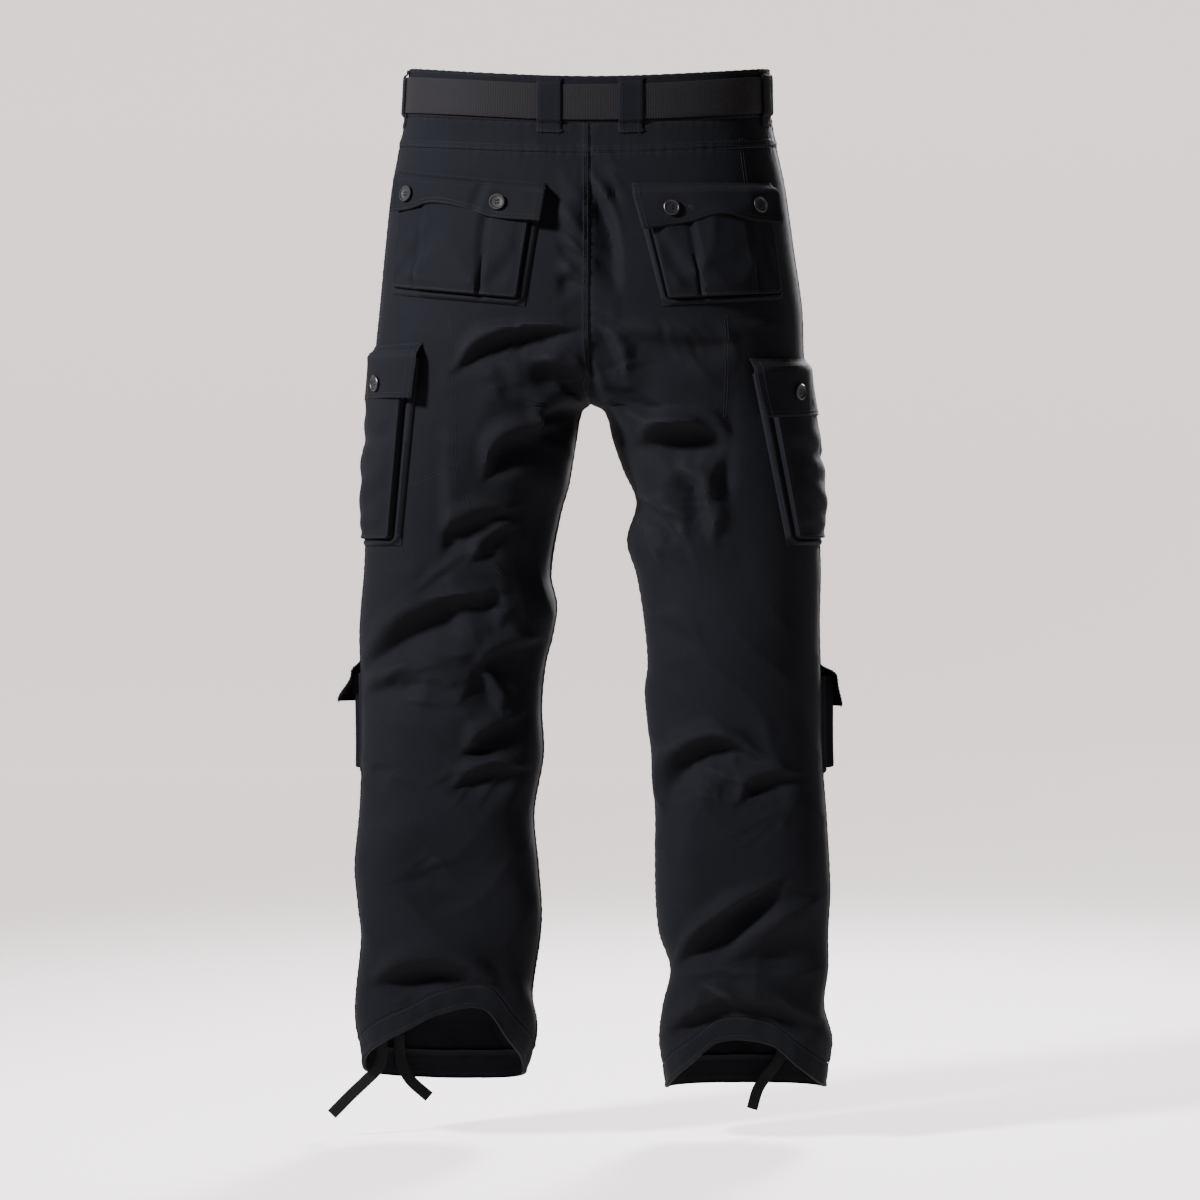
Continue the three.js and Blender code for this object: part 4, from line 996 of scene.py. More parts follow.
def build_hem(side, settings):
    """Hem casing: a doubled band round the foot of a leg, drawn in a little by its tape."""
    top = HEM_DOWN[side] - HEM_CASING
    downs = top + np.array([0, 0.8, 2.0, 3.4, 6, 10, 14, 18, 21, 23, 24.6, 25.6, 26.0])
    bulge = np.array([-1.2, -0.3, 0.2, 0.0, 0.2, 0.4, 0.4, 0.2, 0.1, 1.0, 1.1, 0.4, -0.7])
    turn = np.linspace(0, 2 * math.pi, 181)[:-1][None, :] + np.zeros((len(downs), 1))
    down = downs[:, None] + np.zeros_like(turn)
    points = cloth_point(side, turn, down, settings.folds)
    along = np.cumsum(np.linalg.norm(np.diff(points[5], axis=0), axis=-1))
    along = np.concatenate([[0], along])[None, :]
    drawn = np.sin(along * 0.2 + 2.2 * np.sin(along * 0.031)) * 0.35
    share = smooth_step(1, 7, downs - top)[:, None] * (1 - smooth_step(22, 26, downs - top)[:, None])
    ringed = np.concatenate([points[:, -1:], points, points[:, :1]], axis=1)
    normals = grid_normals(ringed, SIGN[side])[:, 1:-1]
    outer = points + normals * (bulge[:, None] + drawn * share)[..., None]
    outer = clamp_half(outer, side)
    inner = clamp_half(outer - normals * 2.2, side)
    inner[0] = inner[1] + (outer[0] - outer[3]) * 1.6
    uvs = grid_map(outer)
    name = f"hem_{side}"
    obj = wall(name, outer, inner, round_way=True, uvs=uvs)
    dress(obj, "twill")
    loop = np.arange(outer.shape[1] + 1) % outer.shape[1]
    for row in (3, 8):
        note_stitches("body", outer[row][loop], normals[row][loop])
    closed = cloth_point(side, turn, down, 0)[:, loop]
    declare_cloth(obj, [name])
    return obj


LOOP = {"width": 25.0, "thickness": 1.5, "top": 2.0, "bottom": 61.0, "gap": 0.6}
LOOPS = [
    ("loop_back_left", "left", "back", 42.0), ("loop_back_right", "right", "back", 42.0),
    ("loop_side_left", "left", "seam", 12.0), ("loop_side_right", "right", "seam", 40.0),
    ("loop_front_left", "left", "front", 125.0), ("loop_front_right", "right", "front", 125.0),
]


def loop_turn(side, kind, place, down, width):
    if kind == "seam":
        return turn_from_seam(side, down, place + width)
    turn = turn_at(side, down, place + width)
    return turn if kind == "back" else 2 * math.pi - turn


def build_loop(name, side, kind, place):
    """Belt loop: a folded strip over the belt, sewn down above and below it."""
    thickness = LOOP["thickness"]
    over = BELT["clearance"] + BELT["thickness"] + LOOP["gap"]
    low, high = BELT["top"] + BELT["width"] + 1.5, BELT["top"] - 1.5
    stops = [LOOP["top"], high - 3.4, high - 1.6, high - 0.4, high + 1.2, high + 5]
    lifts = [SEAM_GAP, SEAM_GAP, 1.2, over - 0.7, over, over + 0.25]
    downs = np.array(stops + [18, 28, 38] + [low - 5, low - 1.2, low + 0.4, low + 1.6, low + 3.4,
                                             low + 6, LOOP["bottom"] - 2, LOOP["bottom"]])
    lift = np.array(lifts + [over + 0.35, over + 0.3, over + 0.35]
                    + [over + 0.25, over, over - 0.7, 1.2, SEAM_GAP, SEAM_GAP, SEAM_GAP, SEAM_GAP])
    half = LOOP["width"] / 2
    width = np.array([-half, -half + 0.4, -half + 1.2, -half + 4, -2, 2, half - 4, half - 1.2,
                      half - 0.4, half])
    crown = np.array([-0.7, -0.15, 0.1, 0.0, 0.1, 0.1, 0.0, 0.1, -0.15, -0.7])
    down = downs[:, None] + np.zeros(len(width))
    turn = loop_turn(side, kind, place, down, width[None, :] + np.zeros_like(down))
    plain = raised(side, turn, down, lift[:, None] + thickness, 0)
    outer = raised(side, turn, down, lift[:, None] + thickness + crown[None, :], 0)
    inner = raised(side, turn, down, lift[:, None] + np.zeros_like(down), 0)
    obj = wall(name, outer, inner, sharp=60)
    dress(obj, "twill")
    normals = (outer - inner)
    normals /= np.linalg.norm(normals, axis=-1, keepdims=True)
    for column in (3, 6):
        note_stitches("waist", outer[:, column], normals[:, column])
    for row in (1, -2):
        middle = outer[row, 1:-1]
        step = np.array([0, 0, -0.9])
        for k in (-1, 0, 1):
            note_stitches("waist", middle + step * k, normals[row, 1:-1])
    declare_cloth(obj, [name])
    return obj


FLY = {"top": 54.0, "bottom": 212.0, "width": 36.0, "foot": 16.0, "thickness": 1.6}


def build_fly(settings):
    """Fly strip on the wearer's left front. Its foot curves in to the centre seam."""
    t = np.linspace(0, 1, 42)
    downs = FLY["top"] + (FLY["bottom"] - FLY["top"]) * t
    wide = FLY["foot"] + (FLY["width"] - FLY["foot"]) * (1 - smooth_step(0.7, 1.1, t))
    share = np.array([0, 0.03, 0.15, 0.35, 0.55, 0.75, 0.85, 0.93, 0.98, 1.0])
    x = 0.8 + (wide[:, None] - 0.8) * share
    down = downs[:, None] + np.zeros_like(x)
    turn = 2 * math.pi - turn_at("left", down, x)
    edge = np.array([-0.3, 0, 0, 0, 0, 0.1, 0.1, 0, -0.4, -0.9])
    outer = raised("left", turn, down, SEAM_GAP + FLY["thickness"] + edge, settings.folds)
    inner = raised("left", turn, down, SEAM_GAP + np.zeros_like(x), settings.folds)
    obj = wall("fly", outer, inner)
    dress(obj, "twill")
    normals = outer - inner
    normals /= np.linalg.norm(normals, axis=-1, keepdims=True)
    for column in (6, 7):
        note_stitches("body", outer[:, column], normals[:, column])
    plain = raised("left", turn, down, SEAM_GAP + FLY["thickness"] + np.zeros_like(x), 0)
    declare_cloth(obj, ["fly"])
    return obj


STRAIGHT = ((0, 1.0), (1, 1.0))
POCKETS = [
    {
        "kind": "seat", "side": "left", "pleat": 2.0, "near": ("back", 48, 67),
        "far": ("back", 195, 206), "flap top": (117, 106), "top": (132, 121),
        "bottom": (252, 238), "rise": (6, 6, 4), "flare": 0, "reach": 1.0,
        "scallop": ((0, 45), (0.27, 44), (0.42, 37), (0.63, 34), (0.8, 42), (1, 47)),
        "buttons": ((0.24, 0.62), (0.84, 0.62)),
    },
    {
        "kind": "seat", "side": "right", "pleat": 2.0, "near": ("back", 46, 75),
        "far": ("back", 186, 200), "flap top": (117, 121), "top": (132, 136),
        "bottom": (252, 244), "rise": (6, 6, 4), "flare": 0, "reach": 1.0,
        "scallop": ((0, 54), (0.31, 45), (0.5, 37), (0.72, 43), (1, 45)),
        "buttons": ((0.2, 0.62), (0.8, 0.6)),
    },
    {
        "kind": "cargo", "side": "left", "pleat": 0.0, "near": ("back", 176, 196),
        "far": ("seam", -86, -86), "flap top": (290, 296), "top": (306, 311),
        "bottom": (500, 506), "rise": (9, 3, 8), "flare": 0, "reach": 56.0,
        "scallop": STRAIGHT, "buttons": ((0.22, 0.72), (0.8, 0.72)),
    },
    {
        "kind": "cargo", "side": "right", "pleat": 0.0, "near": ("back", 168, 205),
        "far": ("seam", -86, -86), "flap top": (306, 304), "top": (322, 320),
        "bottom": (500, 504), "rise": (9, 3, 8), "flare": 0, "reach": 61.0,
        "scallop": STRAIGHT, "buttons": ((0.2, 0.58), (0.8, 0.62)),
    },
    {
        "kind": "knee", "side": "left", "pleat": 0.0, "near": ("seam", -8, -12),
        "far": ("seam", -148, -148), "flap top": (624, 630), "top": (638, 644),
        "bottom": (748, 750), "rise": (7, 9, 8), "flare": 13, "reach": 44.0,
        "scallop": STRAIGHT, "buttons": ((0.5, 0.62),),
    },
    {
        "kind": "knee", "side": "right", "pleat": 0.0, "near": ("seam", -8, -12),
        "far": ("seam", -148, -148), "flap top": (628, 632), "top": (642, 646),
        "bottom": (748, 750), "rise": (13, 11, 9), "flare": 4, "reach": 46.0,
        "scallop": STRAIGHT, "buttons": ((0.5, 0.62),),
    },
]
# Creases of the pocket faces: from and to as shares across and down, half width and depth.
POCKET_CREASES = {
    "seat_left": [(0.62, 0.45, 0.95, 0.95, 7, -1.3), (0.08, 0.5, 0.28, 0.98, 7, -1.2),
                  (0.45, 0.92, 0.9, 0.7, 8, 1.0)],
    "seat_right": [(0.1, 0.45, 0.26, 0.95, 7, -1.5), (0.75, 0.5, 0.95, 0.95, 7, -1.1),
                   (0.35, 0.75, 0.62, 0.95, 8, 0.9)],
    "cargo_left": [(0.02, 0.38, 0.7, 0.46, 9, -2.2), (0.05, 0.9, 0.55, 0.98, 8, -2.0),
                   (0.05, 0.52, 0.45, 0.8, 10, 1.6), (0.5, 0.5, 0.95, 0.7, 10, -1.8)],
    "cargo_right": [(0.02, 0.42, 0.6, 0.5, 9, -2.0), (0.05, 0.88, 0.5, 0.97, 8, -1.8),
                    (0.03, 0.6, 0.5, 0.78, 10, 1.6), (0.5, 0.4, 0.95, 0.75, 11, -1.6)],
    "knee_left": [(0.0, 0.45, 0.7, 0.62, 8, -2.0), (0.1, 0.8, 0.6, 0.95, 8, -1.6)],
    "knee_right": [(0.0, 0.5, 0.6, 0.65, 8, -1.9), (0.1, 0.85, 0.6, 0.92, 8, -1.6)],
}
POCKET_CLOTH = 1.4
POCKET_SEAT = 0.7
PLEAT_FROM, PLEAT_TO = 0.3, 0.7
FLAP_RISES_IN = 12.0
FLAP_CLEARANCE = 1.1
FLAP_OVERHANG = 0.015


def edge_turn(side, edge, t, down):
    kind, top, bottom = edge
    place = mix(top, bottom, t)
    if kind == "back":
        return turn_at(side, down, place)
    return turn_from_seam(side, down, place)


def pocket_rise(pocket, s):
    near, middle, far = pocket["rise"]
    return np.where(s < 0.5, mix(near, middle, s * 2), mix(middle, far, s * 2 - 1))


def pocket_turn(pocket, s, t, down):
    near = edge_turn(pocket["side"], pocket["near"], t, down)
    far = edge_turn(pocket["side"], pocket["far"], t, down)
    return mix(near, far, s)


def flap_reach(pocket, s):
    table = [(share, reach * pocket["reach"]) for share, reach in pocket["scallop"]]
    return read(table, 1, s)


def crease_relief(rows, u, v):
    """Soft troughs and ridges on a pocket's face. u and v are in millimetres."""
    relief = np.zeros(u.shape)
    for u0, v0, u1, v1, width, depth in rows:
        du, dv = u1 - u0, v1 - v0
        length = max(math.hypot(du, dv), 1)
        along = ((u - u0) * du + (v - v0) * dv) / length
        off = ((u - u0) * dv - (v - v0) * du) / length + 0.25 * width * np.sin(along / (2 * width))
        past = along - np.clip(along, 0.2 * length, 0.8 * length)
        near = np.exp(-(past / (0.2 * length + 0.8 * width)) ** 2)
        t = off / width
        relief += depth * near * (
            np.exp(-t * t) - 0.4 * np.exp(-((np.abs(t) - 1.9) / 0.9) ** 2))
    return relief


# Height across a pocket's edge: millimetres from the edge, and the share of the face's height.
# The gusset folds out and back in, and the face starts with a crisp edge beyond it.
GUSSET_STEPS = ((0, 0.0), (1.2, 0.2), (3.2, 0.42), (5.0, 0.36), (6.4, 0.16), (7.3, 0.14),
                (8.0, 0.9), (8.7, 1.06), (10.5, 1.02), (13, 1.0))


def gusset_share(distance):
    table = np.array(GUSSET_STEPS)
    return np.interp(distance, table[:, 0], table[:, 1])


def pocket_marks(length, cell, both):
    near = np.array([row[0] for row in GUSSET_STEPS])
    stop = length - near[-1] if both else length
    start = near[-1]
    count = max(4, round((stop - start) / cell) + 1)
    inside = np.linspace(start, stop, count)
    if both:
        return np.concatenate([near[:-1], inside, length - near[-2::-1]])
    return np.concatenate([near[:-1], inside])


def build_pocket_body(pocket, settings):
    """Face of a pocket with its gusset at both sides and the foot, open at the top."""
    side = pocket["side"]
    name = f"{pocket['kind']}_pocket_{side}"
    width = {"seat": 140, "cargo": 150, "knee": 138}[pocket["kind"]]
    depth = pocket["bottom"][0] - pocket["top"][0]
    u = pocket_marks(width, settings.pocket_cell / MM, True)
    v = (depth - pocket_marks(depth, settings.pocket_cell / MM, False))[::-1]
    s = (u / width)[None, :] + np.zeros((len(v), 1))
    t = (v / depth)[:, None] + np.zeros((1, len(u)))
    down = mix(mix(*pocket["top"], s), mix(*pocket["bottom"], s), t)
    turn = pocket_turn(pocket, s, t, down)
    edge = np.minimum(np.minimum(u, width - u)[None, :], (depth - v)[:, None])
    corner = np.hypot(np.maximum(11 - np.minimum(u, width - u), 0)[None, :],
                      np.maximum(11 - (depth - v), 0)[:, None])
    edge = np.minimum(edge, np.maximum(11 - corner, 0) + 20 * (corner == 0))
    share = gusset_share(edge)
    rise = pocket_rise(pocket, s)
    um, vm = s * width, t * depth
    if pocket["pleat"]:
        for stop, way in ((PLEAT_FROM, 1), (PLEAT_TO, -1)):
            off = (um - stop * width - way * 1.5 * np.sin(vm / 30)) * way
            deep = 3.4 if stop == PLEAT_FROM else 1.6
            rise = rise - deep * np.exp(-((off + 2.0) / 1.7) ** 2)
        inside = smooth_step(-0.6, 0.6, um - PLEAT_FROM * width - 1.5 * np.sin(vm / 30))
        inside = inside * smooth_step(-0.6, 0.6, PLEAT_TO * width - um - 1.5 * np.sin(vm / 30))
        rise = rise + pocket["pleat"] * inside
    rows = [(a * width, b * depth, c * width, d * depth, w, h)
            for a, b, c, d, w, h in POCKET_CREASES[f"{pocket['kind']}_{side}"]]
    full = 1.4 * np.sin(math.pi * s) * np.sin(math.pi * t) ** 0.7
    shift = 170 * POCKETS.index(pocket)
    creases = 1.5 * crease_relief(rows, um, vm) + crumple(um + shift, vm)
    rise = rise + (creases + full) * smooth_step(9, 22, edge)
    top_gap = 1 - smooth_step(0, 26, vm)
    ceiling = POCKET_SEAT + pocket_rise(pocket, s) + pocket["pleat"] + POCKET_CLOTH
    lift = POCKET_SEAT + np.maximum(rise, 0.5) * share + POCKET_CLOTH * (0.3 + 0.7 * share)
    lift = np.where(top_gap > 0, np.minimum(lift, ceiling + 6 * (1 - top_gap)), lift)
    outer = raised(side, turn, down, lift, settings.folds)
    inner = raised(side, turn, down, lift - 1.3 * (0.5 + 0.5 * share), settings.folds)
    obj = wall(name, outer, inner, sharp=50)
    dress(obj, "twill")
    normals = grid_normals(outer, SIGN[side])
    columns = [int(np.argmin(np.abs(u - place))) for place in (10.5, width - 10.5)]
    row = int(np.argmin(np.abs(depth - v - 10.5)))
    stop = row + 1
    for column in columns:
        note_stitches("pocket", outer[:stop, column], normals[:stop, column])
    note_stitches(
        "pocket", outer[row, columns[0]:columns[1] + 1], normals[row, columns[0]:columns[1] + 1])
    plain = raised(side, turn, down, POCKET_SEAT + 2.0, 0)
    declare_cloth(obj, [name])
    return obj


def flap_place(pocket, s, t):
    """Height below the waist, turn and lift of places on a flap."""
    top = mix(*pocket["flap top"], s)
    down = top + t * flap_reach(pocket, s)
    face = POCKET_SEAT + pocket_rise(pocket, s) + pocket["pleat"] + POCKET_CLOTH
    lift = mix(POCKET_SEAT, face + FLAP_CLEARANCE, smooth_step(0, FLAP_RISES_IN, down - top))
    flare = pocket["flare"] * smooth_step(0.3, 1, t) * (1 - smooth_step(0, 0.35, s))
    reach = (down - pocket["top"][0]) / (pocket["bottom"][0] - pocket["top"][0])
    turn = pocket_turn(pocket, s, np.maximum(0, reach), down)
    return down, turn, lift + flare


def build_flap(pocket, settings):
    """Shaped flap over the top of a pocket. Its corners curl and it sags between its buttons."""
    side = pocket["side"]
    name = f"{pocket['kind']}_flap_{side}"
    width = {"seat": 142, "cargo": 152, "knee": 140}[pocket["kind"]]
    near = np.array([0, 0.7, 1.8, 5.6, 6.8, 8.0])
    count = max(6, round((width - 16) / (settings.pocket_cell / MM)))
    u = np.concatenate([near[:-1], np.linspace(8, width - 8, count), width - near[-2::-1]])
    s = mix(-FLAP_OVERHANG, 1 + FLAP_OVERHANG, u / width)
    reach = flap_reach(pocket, s)
    rows = np.zeros((22, len(u)))
    head = np.array([0, 0.7, 1.8, 4.5, 8.0, 12.0])
    tail = np.array([8.0, 6.8, 5.6, 1.8, 0.7, 0])
    rows[:6] = head[:, None]
    rows[-6:] = reach[None, :] - tail[:, None]
    blend = np.linspace(0, 1, 12)[1:-1, None]
    rows[6:-6] = mix(head[-1], reach[None, :] - 8.0, blend)
    t = rows / reach[None, :]
    s = s[None, :] + np.zeros_like(t)
    down, turn, lift = flap_place(pocket, s, t)
    ends = np.minimum(u, width - u)[None, :]
    foot = reach[None, :] - rows
    curl = 1.8 * np.exp(-((ends ** 2 + foot ** 2) / 15 ** 2))
    wave = 0.9 * np.sin(s * 11 + (1 if side == "left" else 2.4)) * smooth_step(0.45, 1, t)
    for place, along in pocket["buttons"]:
        near_button = np.hypot((s - place) * width, rows - along * reach[None, :])
        wave = wave - 0.8 * np.exp(-(near_button / 11) ** 2)
    if pocket["kind"] == "seat" and side == "left":
        crease = s * width - 45 - 0.22 * rows
        wave = wave - 2.6 * np.exp(-(crease / 2.6) ** 2) + 1.2 * np.exp(-((crease + 7) / 4) ** 2)
    rounded = -0.8 * np.exp(-(np.minimum(ends, foot) / 0.6) ** 2)
    ridge = 0.35 * np.exp(-((np.minimum(ends, foot) - 3.6) / 1.6) ** 2)
    wave = np.maximum(wave, -2.4) + 0.6 * crumple(s * width + 90 * POCKETS.index(pocket), rows)
    lift = lift + curl + wave * smooth_step(2, 12, rows) + ridge
    outer = raised(side, turn, down, lift + POCKET_CLOTH + rounded, settings.folds)
    inner = raised(side, turn, down, lift + 0.1, settings.folds)
    obj = wall(name, outer, inner, sharp=60)
    dress(obj, "twill")
    normals = grid_normals(outer, SIGN[side])
    for k in (2, 3):
        note_stitches("pocket", outer[6 - k:, k], normals[6 - k:, k])
        note_stitches("pocket", outer[6 - k:, -1 - k], normals[6 - k:, -1 - k])
        note_stitches("pocket", outer[-1 - k, k:-k], normals[-1 - k, k:-k])
    note_stitches("pocket", outer[2], normals[2])
    note_stitches("pocket", outer[4], normals[4])
    plain = raised(side, turn, down, POCKET_SEAT + 3.0, 0)
    declare_cloth(
        obj, [name])
    return obj


# Half section of a button: millimetres from its axis and above its seat.
BUTTON_PROFILE = (
    (0, 0), (6.6, 0), (7.9, 0.5), (8.5, 1.3), (8.3, 2.1), (7.7, 2.6), (6.9, 2.6),
    (6.3, 2.1), (6.0, 1.6), (4, 1.45), (0, 1.4))


BUTTON_HOLES = [(x, y) for x in (-1.6, 1.6) for y in (-1.5, 1.5)]


def tube(x, y, radius, low, high, count):
    """Points and faces of an upright closed cylinder."""
    ring = np.linspace(0, 2 * math.pi, count, endpoint=False)
    points = [(x + radius * math.cos(a), y + radius * math.sin(a), z) for z in (low, high) for a in ring]
    faces = [(i, (i + 1) % count, count + (i + 1) % count, count + i) for i in range(count)]
    faces.append(tuple(reversed(range(count))))
    faces.append(tuple(range(count, 2 * count)))
    return points, faces


def button_shape():
    """Points and triangles of a button: its half section turned round, then drilled four times."""
    count = 36
    vertices = []
    faces = []
    ring = np.linspace(0, 2 * math.pi, count, endpoint=False)
    profile = BUTTON_PROFILE[1:-1]
    for radius, height in profile:
        vertices += [(radius * math.cos(a), radius * math.sin(a), height) for a in ring]
    for k in range(len(profile) - 1):
        for i in range(count):
            j = (i + 1) % count
            faces.append((k * count + i, k * count + j, (k + 1) * count + j, (k + 1) * count + i))
    low, high = len(vertices), len(vertices) + 1
    vertices += [(0, 0, BUTTON_PROFILE[0][1]), (0, 0, BUTTON_PROFILE[-1][1])]
    last = (len(profile) - 1) * count
    for i in range(count):
        j = (i + 1) % count
        faces.append((low, j, i))
        faces.append((high, last + i, last + j))
    blank = new_object("button_blank", vertices, faces)
    drills = []
    for number, (x, y) in enumerate(BUTTON_HOLES):
        drill = new_object(f"button_drill_{number}", *tube(x, y, 0.85, -1.0, 4.0, 14))
        hole = blank.modifiers.new(f"hole_{number}", "BOOLEAN")
        hole.operation = "DIFFERENCE"
        hole.solver = "EXACT"
        hole.object = drill
        drills.append(drill)
    bake(blank)
    blank.data.calc_loop_triangles()
    points = [tuple(vertex.co / MM) for vertex in blank.data.vertices]
    triangles = [tuple(triangle.vertices) for triangle in blank.data.loop_triangles]
    for spare in [blank] + drills:
        bpy.data.objects.remove(spare)
    return points, triangles


def add_button(name, shape, seat, normal, scale):
    """Four-hole button with a raised rim, turned to lie along the cloth, and its thread."""
    turned = np.array(Vector(normal).to_track_quat("Z", "Y").to_matrix())
    points = np.array(shape[0]) * scale @ turned.T + np.array(seat)
    button = new_object(name, points, shape[1], sharp=35)
    stand_for(button, "button", name)
    add_button_thread(name, seat, turned, scale)
    return button


def add_button_thread(name, seat, turned, scale):
    """Two parallel passes of thread, each from hole to hole."""
    vertices, faces = [], []
    for y in (-1.5, 1.5):
        stops = np.linspace(-1, 1, 9)
        start = len(vertices)
        for x in stops:
            crest = 1.75 + 0.35 * (1 - x * x) - 1.3 * abs(x) ** 6
            for a in np.linspace(0, 2 * math.pi, 6, endpoint=False):
                vertices.append((1.6 * x, y + 0.42 * math.cos(a), crest + 0.3 * math.sin(a)))
        for k in range(len(stops) - 1):
            for i in range(6):
                j = (i + 1) % 6
                a, b = start + k * 6, start + (k + 1) * 6
                faces.append((a + i, a + j, b + j, b + i))
        faces.append(tuple(start + i for i in (0, 5, 4, 3)))
        faces.append(tuple(start + i for i in (0, 3, 2, 1)))
        end = start + 6 * (len(stops) - 1)
        faces.append(tuple(end + i for i in (0, 1, 2, 3)))
        faces.append(tuple(end + i for i in (0, 3, 4, 5)))
    points = np.array(vertices) * scale @ turned.T + np.array(seat)
    thread = new_object(f"{name}_thread", points, faces)
    dress(thread, "thread")
    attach(thread, BODY)


def build_buttons():
    shape = button_shape()
    for pocket in POCKETS:
        side = pocket["side"]
        for number, (s, along) in enumerate(pocket["buttons"]):
            share = np.array([[float(s)]])
            down, turn, lift = flap_place(pocket, share, np.array([[float(along)]]))
            seat = raised(side, turn, down, lift + POCKET_CLOTH + 0.7, 0)[0, 0]
            upright = edge_turn(side, pocket["near"], 0, down)
            far = edge_turn(side, pocket["far"], 0, down)
            normal = cloth_normal(side, mix(upright, far, share), down, 0)[0, 0]
            name = f"{pocket['kind']}_flap_{side}_button_{number + 1}"
            add_button(name, shape, seat, normal, 1.0)
    turn = 2 * math.pi - turn_at("left", 28.0, 9.0)
    seat = raised("left", turn, 28.0, SEAM_GAP, 0)
    add_button("waist_button", shape, seat, cloth_normal("left", turn, 28.0, 0), 0.7)


TAPES = {
    "hem_tape_left_side": [
        (223, -22, -1030), (223, -22, -1050), (228, -21, -1063), (241, -19, -1076),
        (256, -16, -1090), (276, -12, -1110)],
    "hem_tape_left_front": [
        (206, -53.6, -1030), (205, -53.8, -1050), (201, -52, -1066), (192, -49, -1080),
        (173, -44, -1096)],
    "hem_tape_right_front": [
        (-214, -53, -1028), (-209, -53, -1044), (-201, -51.5, -1060), (-189, -49.5, -1075),
        (-180, -46, -1089), (-174, -44, -1109)],
}


def build_tape(name, settings):
    """Free end of a flat drawstring, square cut, with a slight twist and cupped across."""
    width, thickness = settings.tape_width / MM, 1.4
    path, length = smooth_path(TAPES[name], 48)
    tangent = np.gradient(path, axis=0)
    tangent /= np.linalg.norm(tangent, axis=1, keepdims=True)
    away = np.array([0.0, -1.0, 0.0])
    side_way = np.cross(tangent, away)
    side_way /= np.linalg.norm(side_way, axis=1, keepdims=True)
    out_way = np.cross(side_way, tangent)
    twist = 0.10 * np.sin(np.linspace(0, 2.4, len(path)))[:, None]
    side_way = side_way * np.cos(twist) + out_way * np.sin(twist)
    out_way = np.cross(side_way, tangent)
    offsets = np.array([-0.5, -0.47, -0.4, -0.2, 0, 0.2, 0.4, 0.47, 0.5]) * width
    height = np.array([0.15, 0.42, 0.5, 0.5, 0.5, 0.5, 0.5, 0.42, 0.15]) * thickness
    middle = path[:, None, :] + side_way[:, None, :] * offsets[None, :, None]
    outer = middle + out_way[:, None, :] * height[None, :, None]
    inner = middle - out_way[:, None, :] * height[None, :, None]
    obj = wall(name, outer, inner)
    stand_for(obj, "tape", name)
    return obj


def stitch_tree():
    """Geometry Nodes group: short threads along every line of a mesh, turned to lie on the cloth."""
    tree = bpy.data.node_groups.new("Stitches along lines", "GeometryNodeTree")
    face = tree.interface
    face.new_socket("Geometry", in_out="INPUT", socket_type="NodeSocketGeometry")
    pitch = face.new_socket("Pitch", in_out="INPUT", socket_type="NodeSocketFloat")
    length = face.new_socket("Length", in_out="INPUT", socket_type="NodeSocketFloat")
    radius = face.new_socket("Radius", in_out="INPUT", socket_type="NodeSocketFloat")
    stuff = face.new_socket("Material", in_out="INPUT", socket_type="NodeSocketMaterial")
    face.new_socket("Geometry", in_out="OUTPUT", socket_type="NodeSocketGeometry")
    names = {"pitch": pitch, "length": length, "radius": radius, "material": stuff}
    given = tree.nodes.new("NodeGroupInput")
    out = tree.nodes.new("NodeGroupOutput")
    curve = add_node(tree, "GeometryNodeMeshToCurve", {"Mesh": given.outputs["Geometry"]})
    spaced = add_node(tree, "GeometryNodeResampleCurve", {"Curve": curve.outputs["Curve"]})
    spaced.mode = "LENGTH"
    tree.links.new(given.outputs["Pitch"], spaced.inputs["Length"])
    tangent = add_node(tree, "GeometryNodeInputTangent")
    up = add_node(tree, "GeometryNodeInputNamedAttribute", data_type="FLOAT_VECTOR")
    up.inputs["Name"].default_value = "out"
    along = add_node(
        tree, "FunctionNodeAlignRotationToVector", {"Vector": tangent.outputs["Tangent"]}, axis="X")
    flat = add_node(
        tree, "FunctionNodeAlignRotationToVector",
        {"Rotation": along.outputs["Rotation"], "Vector": up.outputs["Attribute"]},
        axis="Z", pivot_axis="X")
    thread = add_node(tree, "GeometryNodeMeshCylinder", fill_type="NGON")
    thread.inputs["Vertices"].default_value = 5
    tree.links.new(given.outputs["Radius"], thread.inputs["Radius"])
    tree.links.new(given.outputs["Length"], thread.inputs["Depth"])
    laid = add_node(
        tree, "GeometryNodeTransform", {"Geometry": thread.outputs["Mesh"]},
        Rotation=(0, math.pi / 2, 0))
    placed = add_node(
        tree, "GeometryNodeInstanceOnPoints",
        {"Points": spaced.outputs["Curve"], "Instance": laid.outputs["Geometry"],
         "Rotation": flat.outputs["Rotation"]})
    real = add_node(
        tree, "GeometryNodeRealizeInstances", {"Geometry": placed.outputs["Instances"]})
    painted = add_node(
        tree, "GeometryNodeSetMaterial", {"Geometry": real.outputs["Geometry"]})
    tree.links.new(given.outputs["Material"], painted.inputs["Material"])
    tree.links.new(painted.outputs["Geometry"], out.inputs["Geometry"])
    return tree, names


# Seams inside a panel, as places across and below the waist.
INNER_SEAMS = {
    "left": [
        [(144, 263), (144, 322), (139, 350), (139, 414), (127, 458)],
        [(135, 414), (160, 426), (187, 437)],
        [(113, 510), (100, 522), (88, 536)],
    ],
    "right": [
        [(157, 74), (159, 98), (162, 120)],
        [(140, 263), (141, 322), (139, 370)],
    ],
}


